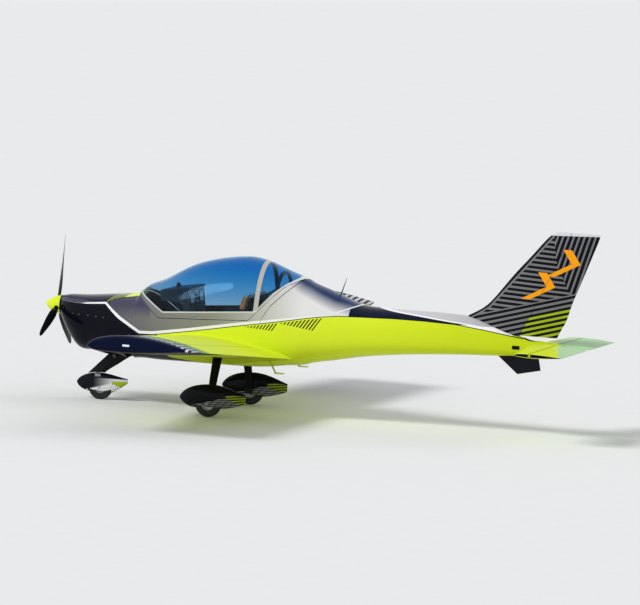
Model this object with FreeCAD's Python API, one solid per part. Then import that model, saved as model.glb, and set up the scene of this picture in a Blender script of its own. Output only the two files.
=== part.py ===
import FreeCAD, Part
import math
import os
from FreeCAD import Vector

os.makedirs("parts", exist_ok=True)

# Ultralight two-seat low-wing aircraft, in millimetres. Stations run aft from the
# nose wheel's contact with the ground, heights run up from the ground, and the
# starboard side is +Y. At the end the model is moved so that its origin lies on
# the ground below the middle of its overall length.

# Fuselage
fuselage_length = 6328.0
cowl_nose_station = -545.0
crown_height = 1912.0
fuselage_half_width = 585.0
cabin_wall = 20.0
cowl_wall = 10.0
boom_wall = 8.0
firewall_thickness = 8.0
panel_gap = 0.3
cut_overrun = 60.0

# Canopy
glass_thickness = 5.0
frame_thickness = 16.0
canopy_gap = 8.0
hinge_barrel_radius = 7.0
hinge_pin_radius = 3.0
hinge_barrel_length = 36.0
hinge_rise = 8.0
pin_clearance = 0.05
moving_gap = 6.0

# Hinge brackets of the control surfaces
bracket_thickness = 8.0
bracket_half_height = 7.0
bracket_root = 12.0
eye_radius = 10.0
surface_pin_radius = 4.0
pin_grip = 14.0
bracket_side_gap = 3.0

# Wing
wing_span = 8600.0
wing_root_half_span = 560.0
wing_root_chord = 1547.0
wing_tip_chord = 1368.0
wing_dihedral_rise = 285.0
wing_tip_sweep = 42.0
wing_root_height = 777.0
wing_root_drop = 27.0
wing_tip_drop = -28.0
wing_cap_width = 130.0
wing_edge_thickness = 4.0
flap_inner_half_span = 660.0
flap_outer_half_span = 2460.0
aileron_outer_half_span = 4060.0
surface_end_gap = 6.0
flap_travel = 38.0
rudder_foot_gap = 14.0

# Tail
tail_span = 2713.0
tailplane_root_chord = 721.0
tailplane_tip_chord = 596.0
tailplane_height = 1122.0
tailplane_cap_width = 60.0
tail_edge_thickness = 4.0
elevator_hinge_depth = 386.0
elevator_inner_half_span = 96.0
torque_tube_radius = 13.0
ventral_depth_share = 0.75

# Landing gear
wheelbase = 1638.0
track_half_width = 995.0
main_tyre_radius = 165.0
main_tyre_half_width = 46.0
nose_tyre_radius = 150.0
nose_tyre_half_width = 42.0
main_rim_radius = 80.0
nose_rim_radius = 72.0
axle_radius = 12.0
caster_trail = 50.0
kingpin_radius = 12.0
fork_plate = 10.0
fork_arm_gap = 8.0
spat_wall = 5.0
main_leg_thickness = 26.0
brake_disc_radius = 58.0
brake_disc_thickness = 6.0

# Power plant
thrust_line_height = 1120.0
propeller_radius = 860.0
propeller_blade_count = 3
blade_drop_angle = 22.0
hub_radius = 46.0
hub_length = 72.0
spinner_length = 199.0
spinner_radius = 118.0
spinner_wall = 3.0
backplate_thickness = 6.0
spinner_cowl_gap = 11.0
engine_length = 470.0
engine_width = 570.0
engine_depth = 310.0
shaft_radius = 32.0

# One row per frame: place along the length, then crown, keel, half width and
# beltline height, each as a share of its own overall size.
mould_shares = (
    (0.0000, 0.6459, 0.5246, 0.205, 0.5853),
    (0.0032, 0.6501, 0.5021, 0.256, 0.5816),
    (0.0071, 0.6527, 0.4786, 0.311, 0.5753),
    (0.0119, 0.6569, 0.4535, 0.368, 0.5701),
    (0.0190, 0.6600, 0.4168, 0.436, 0.5649),
    (0.0288, 0.6621, 0.3713, 0.508, 0.5586),
    (0.0387, 0.6637, 0.3368, 0.568, 0.5533),
    (0.0583, 0.6684, 0.3159, 0.650, 0.5439),
    (0.0861, 0.6789, 0.3049, 0.726, 0.5309),
    (0.1098, 0.6878, 0.2965, 0.778, 0.5230),
    (0.1395, 0.6998, 0.2892, 0.827, 0.5167),
    (0.1596, 0.7191, 0.2908, 0.858, 0.5136),
    (0.1988, 0.8044, 0.2918, 0.915, 0.5073),
    (0.2434, 0.8907, 0.2929, 0.961, 0.5021),
    (0.2944, 0.9587, 0.2945, 0.991, 0.5010),
    (0.3462, 0.9937, 0.2971, 1.000, 0.5021),
    (0.3783, 1.0000, 0.2997, 0.991, 0.5063),
    (0.4044, 0.9854, 0.3033, 0.974, 0.5126),
    (0.4305, 0.9566, 0.3122, 0.950, 0.5204),
    (0.4567, 0.9247, 0.3253, 0.915, 0.5293),
    (0.4964, 0.8719, 0.3426, 0.846, 0.5413),
    (0.5313, 0.8326, 0.3724, 0.778, 0.5533),
    (0.5649, 0.7908, 0.3944, 0.709, 0.5638),
    (0.5953, 0.7584, 0.4158, 0.650, 0.5701),
    (0.6429, 0.7469, 0.4409, 0.564, 0.5753),
    (0.7034, 0.7479, 0.4644, 0.465, 0.5795),
    (0.7656, 0.7490, 0.4822, 0.376, 0.5816),
    (0.8131, 0.7401, 0.4937, 0.311, 0.5816),
    (0.8605, 0.6956, 0.5021, 0.256, 0.5805),
    (0.9126, 0.6412, 0.5152, 0.198, 0.5795),
    (0.9553, 0.6224, 0.5335, 0.144, 0.5816),
    (1.0000, 0.6067, 0.5727, 0.062, 0.5900),
)
crown_power = 2.2
keel_power = 2.5
ring_points = 24

cowl_frame = 11
cabin_frame = 20


def along(share):
    return cowl_nose_station + share * fuselage_length


def up(share):
    return share * crown_height


def mix(low, high, part):
    return low + (high - low) * part


def mould_row(index):
    place, crown, keel, half, belt = mould_shares[index]
    return along(place), up(crown), up(keel), half * fuselage_half_width, up(belt)


def mould_at(station):
    rows = [mould_row(index) for index in range(len(mould_shares))]
    for ahead, behind in zip(rows, rows[1:]):
        if station <= behind[0]:
            part = (station - ahead[0]) / (behind[0] - ahead[0])
            return [mix(low, high, part) for low, high in zip(ahead, behind)]
    return rows[-1]


def crown_at(station):
    return mould_at(station)[1]


def keel_at(station):
    return mould_at(station)[2]


def closed_curve(points):
    # Every ring has its points at the same turns, so that rings loft evenly.
    turns = [step / len(points) for step in range(len(points) + 1)]
    curve = Part.BSplineCurve()
    curve.interpolate(Points=points, PeriodicFlag=True, Parameters=turns)
    return Part.Wire([curve.toShape()])


def open_curve(points, places):
    curve = Part.BSplineCurve()
    curve.interpolate(Points=points, Parameters=places)
    return curve.toShape()


def ring_wire(station, crown, keel, half, belt, offset):
    points = []
    for step in range(ring_points):
        turn = 2 * math.pi * step / ring_points
        side, rise = math.cos(turn), math.sin(turn)
        power = crown_power if rise >= 0 else keel_power
        reach = crown - belt + offset if rise >= 0 else belt - keel + offset
        across = math.copysign(abs(side) ** (2 / power), side) * (half + offset)
        height = belt + math.copysign(abs(rise) ** (2 / power), rise) * reach
        points.append(Vector(station, across, height))
    return closed_curve(points)


hulls_made = {}


def hull(offset, first, last):
    key = (offset, first, last)
    if key not in hulls_made:
        wires = [ring_wire(*mould_row(index), offset) for index in range(first, last + 1)]
        hulls_made[key] = Part.makeLoft(wires, True, False)
    return hulls_made[key]


def block(x_low, x_high, y_low, y_high, z_low, z_high):
    return Part.makeBox(x_high - x_low, y_high - y_low, z_high - z_low,
                        Vector(x_low, y_low, z_low))


def closed_face(points):
    return Part.Face(Part.makePolygon(points + [points[0]]))


def side_prism(points, half_width):
    face = closed_face([Vector(x, -half_width, z) for x, z in points])
    return face.extrude(Vector(0, 2 * half_width, 0))


def side_points(shares):
    return [Vector(along(place), 0, up(height)) for place, height in shares]


def rod(start, end, radius):
    return Part.makeCylinder(radius, (end - start).Length, start, end - start)


def mirrored(shape):
    return shape.mirror(Vector(0, 0, 0), Vector(0, 1, 0))


def rounded(shape, radius):
    return shape.makeFillet(radius, shape.Edges)


def largest(shape):
    return sorted(shape.Solids, key=lambda piece: piece.Volume)[-1]


def joined(shapes):
    return shapes[0].multiFuse(shapes[1:]).removeSplitter()


# Airfoils: place along the chord, then height, as shares of the chord. The upper
# side runs from the trailing edge forward and the lower side back to it.
wing_upper_shares = ((1.0, 0.0), (0.76, 0.06), (0.5, 0.1), (0.3, 0.108), (0.14, 0.088),
                     (0.035, 0.046), (0.0, 0.0))
wing_lower_shares = ((0.0, 0.0), (0.035, -0.027), (0.14, -0.043), (0.3, -0.048),
                     (0.5, -0.043), (0.76, -0.022), (1.0, 0.0))
tail_upper_shares = ((1.0, 0.0), (0.76, 0.029), (0.5, 0.046), (0.3, 0.049), (0.14, 0.041),
                     (0.035, 0.023), (0.0, 0.0))
tail_lower_shares = tuple((place, -height) for place, height in reversed(tail_upper_shares))
wing_section_shares = (wing_upper_shares, wing_lower_shares)
tail_section_shares = (tail_upper_shares, tail_lower_shares)


def section_wire(shares, nose, tail, across, depth_share, edge):
    # nose and tail are the ends of the chord; across is the thickness direction.
    chord = tail - nose
    length = chord.Length
    curves = []
    ends = []
    for rows, side in zip(shares, (1, -1)):
        points = [nose + chord * place
                  + across * (height * length * depth_share + side * edge / 2 * place)
                  for place, height in rows]
        places = [0]
        for left, right in zip(rows, rows[1:]):
            places.append(places[-1] + math.dist(left, right))
        curves.append(open_curve(points, places))
        ends.append(points[0] if side > 0 else points[-1])
    return Part.Wire(curves + [Part.makeLine(ends[1], ends[0])])


def section_half(shares, place):
    # Half of the thickness and the middle height at a place, as shares of the chord.
    heights = []
    for rows in shares:
        rows = sorted(rows)
        for left, right in zip(rows, rows[1:]):
            if left[0] <= place <= right[0]:
                part = (place - left[0]) / (right[0] - left[0])
                heights.append(mix(left[1], right[1], part))
                break
    return (heights[0] - heights[1]) / 2, (heights[0] + heights[1]) / 2


even_share = 0.0001


def swept_cone(start, end, start_radius, end_radius):
    length = (end - start).Length
    if abs(start_radius - end_radius) < length * even_share:
        return Part.makeCylinder(start_radius, length, start, end - start)
    return Part.makeCone(start_radius, end_radius, length, start, end - start)


def split_surface(whole, hinge_in, hinge_out, radius_in, radius_out, zone, inner_zone):
    # The moving part keeps what lies aft of the hinge line and a round nose about it.
    # The fixed part keeps a hollow cove a running gap larger than that nose.
    line = hinge_out - hinge_in
    slope = (radius_out - radius_in) / line.Length
    unit = line / line.Length
    longer = cut_overrun
    start, end = hinge_in - unit * longer, hinge_out + unit * longer
    low, high = radius_in - slope * longer, radius_out + slope * longer
    nose = swept_cone(start, end, low, high).common(inner_zone)
    cove = swept_cone(start, end, low + moving_gap, high + moving_gap)
    aft_zone, aft_inner, cove_zone = zone
    moving = whole.common(aft_inner).fuse(nose)
    fixed = whole.cut(aft_zone).cut(cove.common(cove_zone))
    return fixed, moving.removeSplitter()


def hinged(fixed, moving, point, axis, aft, nose_radius):
    # An arm of the fixed part reaches into a notch of the moving part's nose, where
    # the moving part's pin turns in its eye. Built about +Y with aft along +X.
    reach = nose_radius + moving_gap + bracket_root
    half = bracket_thickness / 2
    notch_half = half + bracket_side_gap
    start, end = Vector(0, -half, 0), Vector(0, half, 0)
    notch = block(-reach, 0, -notch_half, notch_half, -reach, reach).fuse(
        rod(Vector(0, -notch_half, 0), Vector(0, notch_half, 0), eye_radius + moving_gap))
    arm = block(-reach, 0, -half, half, -bracket_half_height, bracket_half_height).fuse(
        rod(start, end, eye_radius))
    arm = arm.cut(rod(start * 2, end * 2, surface_pin_radius + pin_clearance))
    pin = rod(Vector(0, -notch_half - pin_grip, 0), Vector(0, notch_half + pin_grip, 0),
              surface_pin_radius)
    unit = axis / axis.Length
    turn = FreeCAD.Rotation(aft, unit, aft.cross(unit), "YXZ")
    place = FreeCAD.Placement(point, turn)
    for piece in (notch, arm, pin):
        piece.Placement = place
    return fixed.fuse(arm), moving.cut(notch).fuse(pin)


# Fuselage mould, cabin shell and tail boom
firewall_station = mould_row(cowl_frame)[0]
bulkhead_station = mould_row(cabin_frame)[0]
last_frame = len(mould_shares) - 1
side_reach = fuselage_half_width + cut_overrun
far_aft = fuselage_length + fuselage_half_width

canopy_line_shares = (
    (0.1593, 0.7233), (0.2140, 0.5779), (0.3895, 0.6114), (0.3938, 0.6104),
    (0.4278, 0.7369), (0.4545, 0.8326), (0.4774, 0.8787), (0.4926, 0.8954))
front_glass_shares = ((0.1670, 0.7333), (0.2222, 0.6229), (0.4031, 0.6752))
rear_glass_shares = ((0.4120, 0.6998), (0.4362, 0.7971), (0.4559, 0.8546), (0.4752, 0.8954))
crown_clearance_share = 1.1


def over_line(shares, rise):
    points = [(p.x, p.z + rise) for p in side_points(shares)]
    ceiling = crown_height * crown_clearance_share
    return points + [(points[-1][0], ceiling), (points[0][0], ceiling)]


cabin_outer = hull(0, cowl_frame, cabin_frame)
cabin_inner = hull(-cabin_wall, cowl_frame, cabin_frame)
cabin_room = cabin_inner.cut(block(firewall_station - cut_overrun,
                                   firewall_station + firewall_thickness,
                                   -side_reach, side_reach, 0, crown_height))
canopy_prism = side_prism(over_line(canopy_line_shares, 0), side_reach)
cabin_skin = cabin_outer.cut(cabin_room)
cabin_shell = cabin_skin.cut(canopy_prism)

boom_outer = hull(0, cabin_frame, last_frame)
boom_inner = hull(-boom_wall, cabin_frame, last_frame - 1)
tail_boom = boom_outer.cut(boom_inner)

# Rear bulkhead closes the cabin ahead of the boom.
bulkhead_thickness = 12.0
rear_bulkhead = cabin_inner.common(
    block(bulkhead_station - bulkhead_thickness, bulkhead_station,
          -side_reach, side_reach, 0, crown_height))

# Canopy: frame shell with the glass let into it
canopy_outline = over_line(canopy_line_shares, canopy_gap)
canopy_outline[-1] = (canopy_outline[-1][0] + canopy_gap, canopy_outline[-1][1])
canopy_outline[0] = (canopy_outline[0][0] + canopy_gap, canopy_outline[0][1])
canopy_zone = side_prism(canopy_outline, side_reach).cut(
    block(along(canopy_line_shares[-1][0]) - canopy_gap, far_aft,
          -side_reach, side_reach, 0, crown_height * crown_clearance_share))
front_zone = side_prism(over_line(front_glass_shares, 0), side_reach)
rear_zone = side_prism(over_line(rear_glass_shares, 0), side_reach)
frame_inner = hull(-frame_thickness, cowl_frame, cabin_frame)
glass_inner = hull(-glass_thickness, cowl_frame, cabin_frame)
frame_shell = cabin_outer.cut(frame_inner).common(canopy_zone)
glass_shell = cabin_outer.cut(glass_inner)
canopy_frame = frame_shell.cut(front_zone).cut(rear_zone)
canopy_glass = glass_shell.common(front_zone)
canopy_rear_glass = glass_shell.common(rear_zone)

# Canopy hinge: a barrel on the deck between two knuckles of the canopy, on one pin
# just above the skin, so that the canopy's front edge swings up and clear.
canopy_hinge_station = along(canopy_line_shares[0][0]) + canopy_gap
canopy_hinge_height = crown_at(canopy_hinge_station) + hinge_rise
hinge_axis = Vector(canopy_hinge_station, 0, canopy_hinge_height)
hinge_grip = hinge_barrel_radius * 2


def hinge_leaf(inner, outer, aft):
    # A barrel with its foot in the skin, ahead of the axis or aft of it.
    low, high = Vector(0, inner, 0), Vector(0, outer, 0)
    barrel = rod(hinge_axis + low, hinge_axis + high, hinge_barrel_radius)
    foot_end = hinge_axis.x + aft * hinge_grip
    skin = crown_at(foot_end)
    face = closed_face([
        Vector(hinge_axis.x, inner, hinge_axis.z + hinge_barrel_radius),
        Vector(foot_end, inner, skin),
        Vector(foot_end, inner, skin - canopy_gap),
        Vector(hinge_axis.x, inner, hinge_axis.z - hinge_barrel_radius)])
    return barrel.fuse(face.extrude(Vector(0, outer - inner, 0)))


deck_half = hinge_barrel_length / 2
knuckle_inner = deck_half + panel_gap
knuckle_outer = knuckle_inner + hinge_barrel_length
hinge_bore = rod(hinge_axis - Vector(0, knuckle_outer, 0), hinge_axis + Vector(0, knuckle_outer, 0),
                 hinge_pin_radius + pin_clearance)
hinge_pin = rod(hinge_axis - Vector(0, knuckle_outer, 0), hinge_axis + Vector(0, knuckle_outer, 0),
                hinge_pin_radius)
canopy_hinge_bracket = hinge_leaf(-deck_half, deck_half, -1).cut(hinge_bore)
canopy_hinge_bracket = canopy_hinge_bracket.cut(
    block(cowl_nose_station, firewall_station + panel_gap, -side_reach, side_reach,
          0, crown_height))
deck_notch = rod(hinge_axis - Vector(0, knuckle_inner + canopy_gap, 0),
                 hinge_axis + Vector(0, knuckle_inner + canopy_gap, 0),
                 hinge_barrel_radius + moving_gap)
knuckles = [hinge_leaf(knuckle_inner, knuckle_outer, 1), hinge_leaf(-knuckle_outer, -knuckle_inner, 1)]
canopy_frame = canopy_frame.cut(deck_notch).multiFuse(knuckles + [hinge_pin])

# Cowl: upper and lower halves round the engine
cowl_split_share = 0.5361
cowl_outer = hull(0, 0, cowl_frame)
cowl_room = hull(-cowl_wall, 1, cowl_frame)
cowl_skin = cowl_outer.cut(cowl_room)
shaft_hole = Part.makeCylinder(shaft_radius * 2, fuselage_half_width,
                               Vector(cowl_nose_station - cut_overrun, 0, thrust_line_height),
                               Vector(1, 0, 0))
cowl_skin = cowl_skin.cut(shaft_hole)


def rounded_slot(x_low, x_high, y_low, y_high, z_low, z_high, radius):
    slot = block(x_low, x_high, y_low, y_high, z_low, z_high)
    edges = [edge for edge in slot.Edges
             if abs(edge.Vertexes[0].X - edge.Vertexes[1].X) > radius]
    return slot.makeFillet(radius, edges)


chin_low_share, chin_high_share = 0.3494, 0.4142
chin_half_share = 0.3
inlet_round_share = 0.45
chin_station_share = 0.0387
chin_inlet = rounded_slot(cowl_nose_station - cut_overrun, along(chin_station_share),
                          -chin_half_share * fuselage_half_width,
                          chin_half_share * fuselage_half_width,
                          up(chin_low_share), up(chin_high_share),
                          up(chin_high_share - chin_low_share) * inlet_round_share)
cheek_low_share, cheek_high_share = 0.5586, 0.5921
cheek_inner_share, cheek_outer_share = 0.24, 0.4
cheek_inlets = []
for side in (-1, 1):
    ends = sorted((side * cheek_inner_share * fuselage_half_width,
                   side * cheek_outer_share * fuselage_half_width))
    cheek_inlets.append(rounded_slot(cowl_nose_station - cut_overrun,
                                     along(chin_station_share), ends[0], ends[1],
                                     up(cheek_low_share), up(cheek_high_share),
                                     up(cheek_high_share - cheek_low_share)
                                     * inlet_round_share))
cowl_skin = cowl_skin.cut(cheek_inlets + [chin_inlet])
upper_zone = block(cowl_nose_station - cut_overrun, firewall_station, -side_reach, side_reach,
                   up(cowl_split_share), crown_height)
cowl_upper = cowl_skin.common(upper_zone)
cowl_lower = cowl_skin.cut(upper_zone)

# Engine: a plain block with its gearbox and propeller shaft
engine_aft_gap = 120.0
gearbox_length_share = 0.36
gearbox_radius_share = 0.26
engine_aft = firewall_station - engine_aft_gap
engine_front = engine_aft - engine_length
engine_top_share = 0.2
engine_top = thrust_line_height + engine_depth * engine_top_share
shaft_front = cowl_nose_station - spinner_cowl_gap + panel_gap
case_round_share = 0.12
engine_case = block(engine_front, engine_aft, -engine_width / 2, engine_width / 2,
                    engine_top - engine_depth, engine_top)
engine_case = rounded(engine_case, engine_depth * case_round_share)
gearbox_length = engine_length * gearbox_length_share
gearbox = Part.makeCylinder(engine_depth * gearbox_radius_share, gearbox_length * 2,
                            Vector(engine_front - gearbox_length, 0, thrust_line_height),
                            Vector(1, 0, 0))
shaft = rod(Vector(shaft_front, 0, thrust_line_height),
            Vector(engine_front, 0, thrust_line_height), shaft_radius)
engine = joined([engine_case, gearbox, shaft])

mount_tube_radius = 11.0
mount_height_shares = (0.2, 0.8)
mount_side_share = 0.3
mount_tubes = []
for height_share in mount_height_shares:
    for side in (-1, 1):
        height = engine_top - engine_depth * height_share
        across = side * engine_width * mount_side_share
        mount_tubes.append(rod(Vector(engine_aft, across, height),
                               Vector(firewall_station, across, height), mount_tube_radius))
engine_mount = Part.makeCompound(mount_tubes)

# Exhaust stubs leave through the bottom of the cowl.
stub_radius = 21.0
stub_wall = 2.5
stub_station_share = 0.1082
stub_run_share = 0.008
stub_half_gap_share = 0.17
stub_depth_share = 0.0157
stub_clearance = 6.0
exhaust_stubs = []
stub_holes = []
for side in (-1, 1):
    across = side * stub_half_gap_share * fuselage_half_width
    station = along(stub_station_share)
    bend = Vector(station, across, keel_at(station) + up(stub_depth_share) * 2)
    start = Vector(station, across, engine_top - engine_depth)
    mouth = Vector(station + stub_run_share * fuselage_length, across,
                   keel_at(station) - up(stub_depth_share))
    pipe = joined([rod(start, bend, stub_radius), Part.makeSphere(stub_radius, bend),
                   rod(bend, mouth, stub_radius)])
    bore = rod(mix(bend, mouth, 0.3), mouth + (mouth - bend), stub_radius - stub_wall)
    exhaust_stubs.append(pipe.cut(bore))
    stub_holes.append(rod(bend, mouth + (mouth - bend), stub_radius + stub_clearance))
exhaust_stubs = Part.makeCompound(exhaust_stubs)
cowl_lower = cowl_lower.cut(stub_holes)


# Wing
def wing_place(half_span):
    # Leading edge point and chord end at a distance out from the middle.
    part = (half_span - wing_root_half_span) / (wing_span / 2 - wing_root_half_span)
    nose = Vector(wing_root_station + wing_tip_sweep * part, half_span,
                  wing_root_height + wing_dihedral_rise * part)
    chord = mix(wing_root_chord, wing_tip_chord, part)
    drop = mix(wing_root_drop, wing_tip_drop, part)
    return nose, nose + Vector(chord, 0, -drop)


def wing_wire(half_span, chord_share, depth_share):
    nose, tail = wing_place(half_span)
    chord = tail - nose
    spare = chord * ((1 - chord_share) / 2)
    return section_wire(wing_section_shares, nose + spare, tail - spare, Vector(0, 0, 1),
                        depth_share, wing_edge_thickness)


wing_root_share = 0.2268
wing_root_station = along(wing_root_share)
wing_inner_share = 0.7
wing_cap_shares = ((0.0, 1.0, 1.0), (0.55, 0.992, 0.94), (0.85, 0.97, 0.8), (1.0, 0.92, 0.55))
cap_start = wing_span / 2 - wing_cap_width
wing_panel = Part.makeLoft([wing_wire(fuselage_half_width * wing_inner_share, 1, 1),
                            wing_wire(cap_start, 1, 1)], True, True)
wing_cap = Part.makeLoft([wing_wire(cap_start + wing_cap_width * place, chord, depth)
                          for place, chord, depth in wing_cap_shares], True, False)
wing_whole = wing_panel.fuse(wing_cap).removeSplitter()
surface_hinge_share = 0.755
nose_fit_share = 0.96


def wing_hinge(half_span):
    nose, tail = wing_place(half_span)
    half, middle = section_half(wing_section_shares, surface_hinge_share)
    chord = tail - nose
    point = nose + chord * surface_hinge_share + Vector(0, 0, middle * chord.Length)
    return point, half * chord.Length * nose_fit_share


def wing_slab(inner, outer, inset):
    # Between two distances out, with ends square to the hinge line.
    start, end = wing_hinge(inner)[0], wing_hinge(outer)[0]
    step = (end - start) * (inset / (end - start).Length)
    return rod(start + step, end - step, wing_root_chord)


def wing_zone(inner, outer, inset):
    # The part of the slab that lies aft of the hinge line.
    start, end = wing_hinge(inner)[0], wing_hinge(outer)[0]
    start, end = start - (end - start), end + (end - start)
    aft = wing_root_station + wing_root_chord * 2
    face = closed_face([Vector(start.x, start.y, 0), Vector(end.x, end.y, 0),
                        Vector(aft, end.y, 0), Vector(aft, start.y, 0)])
    return wing_slab(inner, outer, inset).common(face.extrude(Vector(0, 0, crown_height)))


def wing_surface(whole, inner, outer):
    start, start_radius = wing_hinge(inner)
    end, end_radius = wing_hinge(outer)
    zone = (wing_zone(inner, outer, 0), wing_zone(inner, outer, surface_end_gap),
            wing_slab(inner, outer, 0))
    return split_surface(whole, start, end, start_radius, end_radius, zone,
                         wing_slab(inner, outer, surface_end_gap))


wing_fixed, wing_moving = wing_surface(wing_whole, flap_inner_half_span,
                                       aileron_outer_half_span)


def flap_relief():
    # Room under the wing's own lip for the lower skin of a flap that is fully down.
    grow = 1 / (nose_fit_share * math.cos(math.radians(flap_travel / 2)))
    start, start_radius = wing_hinge(flap_inner_half_span)
    end, end_radius = wing_hinge(flap_outer_half_span)
    unit = (end - start) / (end - start).Length
    start, end = start - unit * surface_end_gap / 2, end + unit * surface_end_gap / 2
    sweep = swept_cone(start, end, start_radius * grow + moving_gap,
                       end_radius * grow + moving_gap)
    start, end = start - unit * cut_overrun, end + unit * cut_overrun
    reach = Vector(wing_root_chord, 0, 0)
    middle = closed_face([start - reach, end - reach, end + reach, start + reach])
    return sweep.common(middle.extrude(Vector(0, 0, -crown_height)))


wing_fixed = wing_fixed.cut(flap_relief())
flap_right = wing_moving.common(wing_slab(flap_inner_half_span, flap_outer_half_span,
                                          surface_end_gap / 2))
aileron_right = wing_moving.common(wing_slab(flap_outer_half_span, aileron_outer_half_span,
                                             surface_end_gap / 2))
hinge_place_shares = (0.2, 0.8)


def with_wing_hinges(fixed, moving, inner, outer):
    axis = wing_hinge(outer)[0] - wing_hinge(inner)[0]
    for share in hinge_place_shares:
        point, radius = wing_hinge(mix(inner, outer, share))
        fixed, moving = hinged(fixed, moving, point, axis, Vector(1, 0, 0), radius)
    return fixed, moving


wing_fixed, flap_right = with_wing_hinges(wing_fixed, flap_right, flap_inner_half_span,
                                          flap_outer_half_span)
wing_fixed, aileron_right = with_wing_hinges(wing_fixed, aileron_right,
                                             flap_outer_half_span, aileron_outer_half_span)
# Root fairing: a fuller section at the fuselage thins out to the wing's own.
fairing_shares = ((0.0, 1.09, 1.9), (0.5, 1.055, 1.42), (0.8, 1.015, 1.1), (1.0, 1.0, 1.0))
fairing_end = flap_inner_half_span - surface_end_gap * 2
fairing_start = fuselage_half_width * wing_inner_share
root_fairing = Part.makeLoft([wing_wire(mix(fairing_start, fairing_end, place), chord, depth)
                              for place, chord, depth in fairing_shares], True, False)
wing_fixed = wing_fixed.fuse(root_fairing)
wing_right = largest(wing_fixed.cut(cabin_outer))
wing_left = largest(mirrored(wing_fixed).cut(cabin_outer))

# Tail surfaces
tail_edge_share = 1.0510
tail_edge_station = along(tail_edge_share)
tailplane_cap_shares = ((0.0, 1.0, 1.0), (0.6, 0.99, 0.86), (1.0, 0.94, 0.45))


def tail_wire(half_span, chord_share, depth_share):
    part = half_span / (tail_span / 2)
    chord = mix(tailplane_root_chord, tailplane_tip_chord, part)
    tail = Vector(tail_edge_station, half_span, tailplane_height)
    nose = tail - Vector(chord, 0, 0)
    spare = (tail - nose) * ((1 - chord_share) / 2)
    return section_wire(tail_section_shares, nose + spare, tail - spare, Vector(0, 0, 1),
                        depth_share, tail_edge_thickness)


tail_cap_start = tail_span / 2 - tailplane_cap_width
tail_whole = Part.makeLoft([tail_wire(0, 1, 1), tail_wire(tail_cap_start, 1, 1)], True, True)
tail_cap = Part.makeLoft([tail_wire(tail_cap_start + tailplane_cap_width * place, chord, depth)
                          for place, chord, depth in tailplane_cap_shares], True, False)
tail_whole = tail_whole.fuse(tail_cap).removeSplitter()
elevator_station = tail_edge_station - elevator_hinge_depth


def elevator_radius(half_span):
    part = half_span / (tail_span / 2)
    chord = mix(tailplane_root_chord, tailplane_tip_chord, part)
    half, _ = section_half(tail_section_shares, 1 - elevator_hinge_depth / chord)
    return half * chord * nose_fit_share


tail_reach = tail_span / 2 + cut_overrun
elevator_inner = elevator_inner_half_span
tube_reach_share = 1.5
elevator_ends = (Vector(elevator_station, elevator_inner, tailplane_height),
                 Vector(elevator_station, tail_reach, tailplane_height))
elevator_zone = block(elevator_station, tail_edge_station + cut_overrun, 0, tail_reach,
                      0, crown_height)
elevator_inner_zone = block(elevator_station, tail_edge_station + cut_overrun,
                            elevator_inner, tail_reach, 0, crown_height)
elevator_slab = block(elevator_station - cut_overrun, tail_edge_station, elevator_inner,
                      tail_span / 2 - tailplane_cap_width * 0.5, 0, crown_height)
elevator_cove_slab = block(elevator_station - cut_overrun, tail_edge_station, 0, tail_reach,
                           0, crown_height)
tailplane_right, elevator_right = split_surface(
    tail_whole, elevator_ends[0], elevator_ends[1], elevator_radius(elevator_inner),
    elevator_radius(tail_reach), (elevator_zone, elevator_inner_zone, elevator_cove_slab),
    elevator_slab)
for share in hinge_place_shares:
    reach = mix(elevator_inner, tail_span / 2, share)
    tailplane_right, elevator_right = hinged(
        tailplane_right, elevator_right, Vector(elevator_station, reach, tailplane_height),
        Vector(0, 1, 0), Vector(1, 0, 0), elevator_radius(reach))
tailplane = Part.makeCompound([largest(tailplane_right.cut(boom_outer)),
                               largest(mirrored(tailplane_right).cut(boom_outer))])
tube_reach = elevator_inner * tube_reach_share
torque_tube = rod(Vector(elevator_station, -tube_reach, tailplane_height),
                  Vector(elevator_station, tube_reach, tailplane_height),
                  torque_tube_radius)
elevator = joined([elevator_right, mirrored(elevator_right), torque_tube])
tail_boom = tail_boom.cut(rod(Vector(elevator_station, -elevator_inner, tailplane_height),
                              Vector(elevator_station, elevator_inner, tailplane_height),
                              torque_tube_radius + moving_gap))

# Fin and rudder: rows of height, leading edge, trailing edge and depth of section
fin_shares = (
    (0.5858, 0.7846, 0.9853, 0.80),
    (0.6799, 0.7973, 0.9924, 0.82),
    (0.7490, 0.8115, 1.0027, 0.85),
    (0.8028, 0.8382, 1.0081, 0.90),
    (0.8682, 0.8581, 1.0134, 0.92),
    (0.9346, 0.8734, 1.0204, 0.95),
    (1.0486, 0.8995, 1.0330, 0.96),
    (1.1883, 0.9346, 1.0479, 0.98),
    (1.2777, 0.9565, 1.0574, 0.95),
    (1.3128, 0.9687, 1.0605, 0.75),
    (1.3295, 0.9853, 1.0596, 0.40),
)
rudder_hinge_shares = ((0.9170, 0.6475), (1.0071, 1.3075))
rudder_nose_share = 1.06


def fin_wire(row):
    height, nose, tail, depth = row
    return section_wire(tail_section_shares, Vector(along(nose), 0, up(height)),
                        Vector(along(tail), 0, up(height)), Vector(0, 1, 0), depth,
                        tail_edge_thickness)


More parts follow.
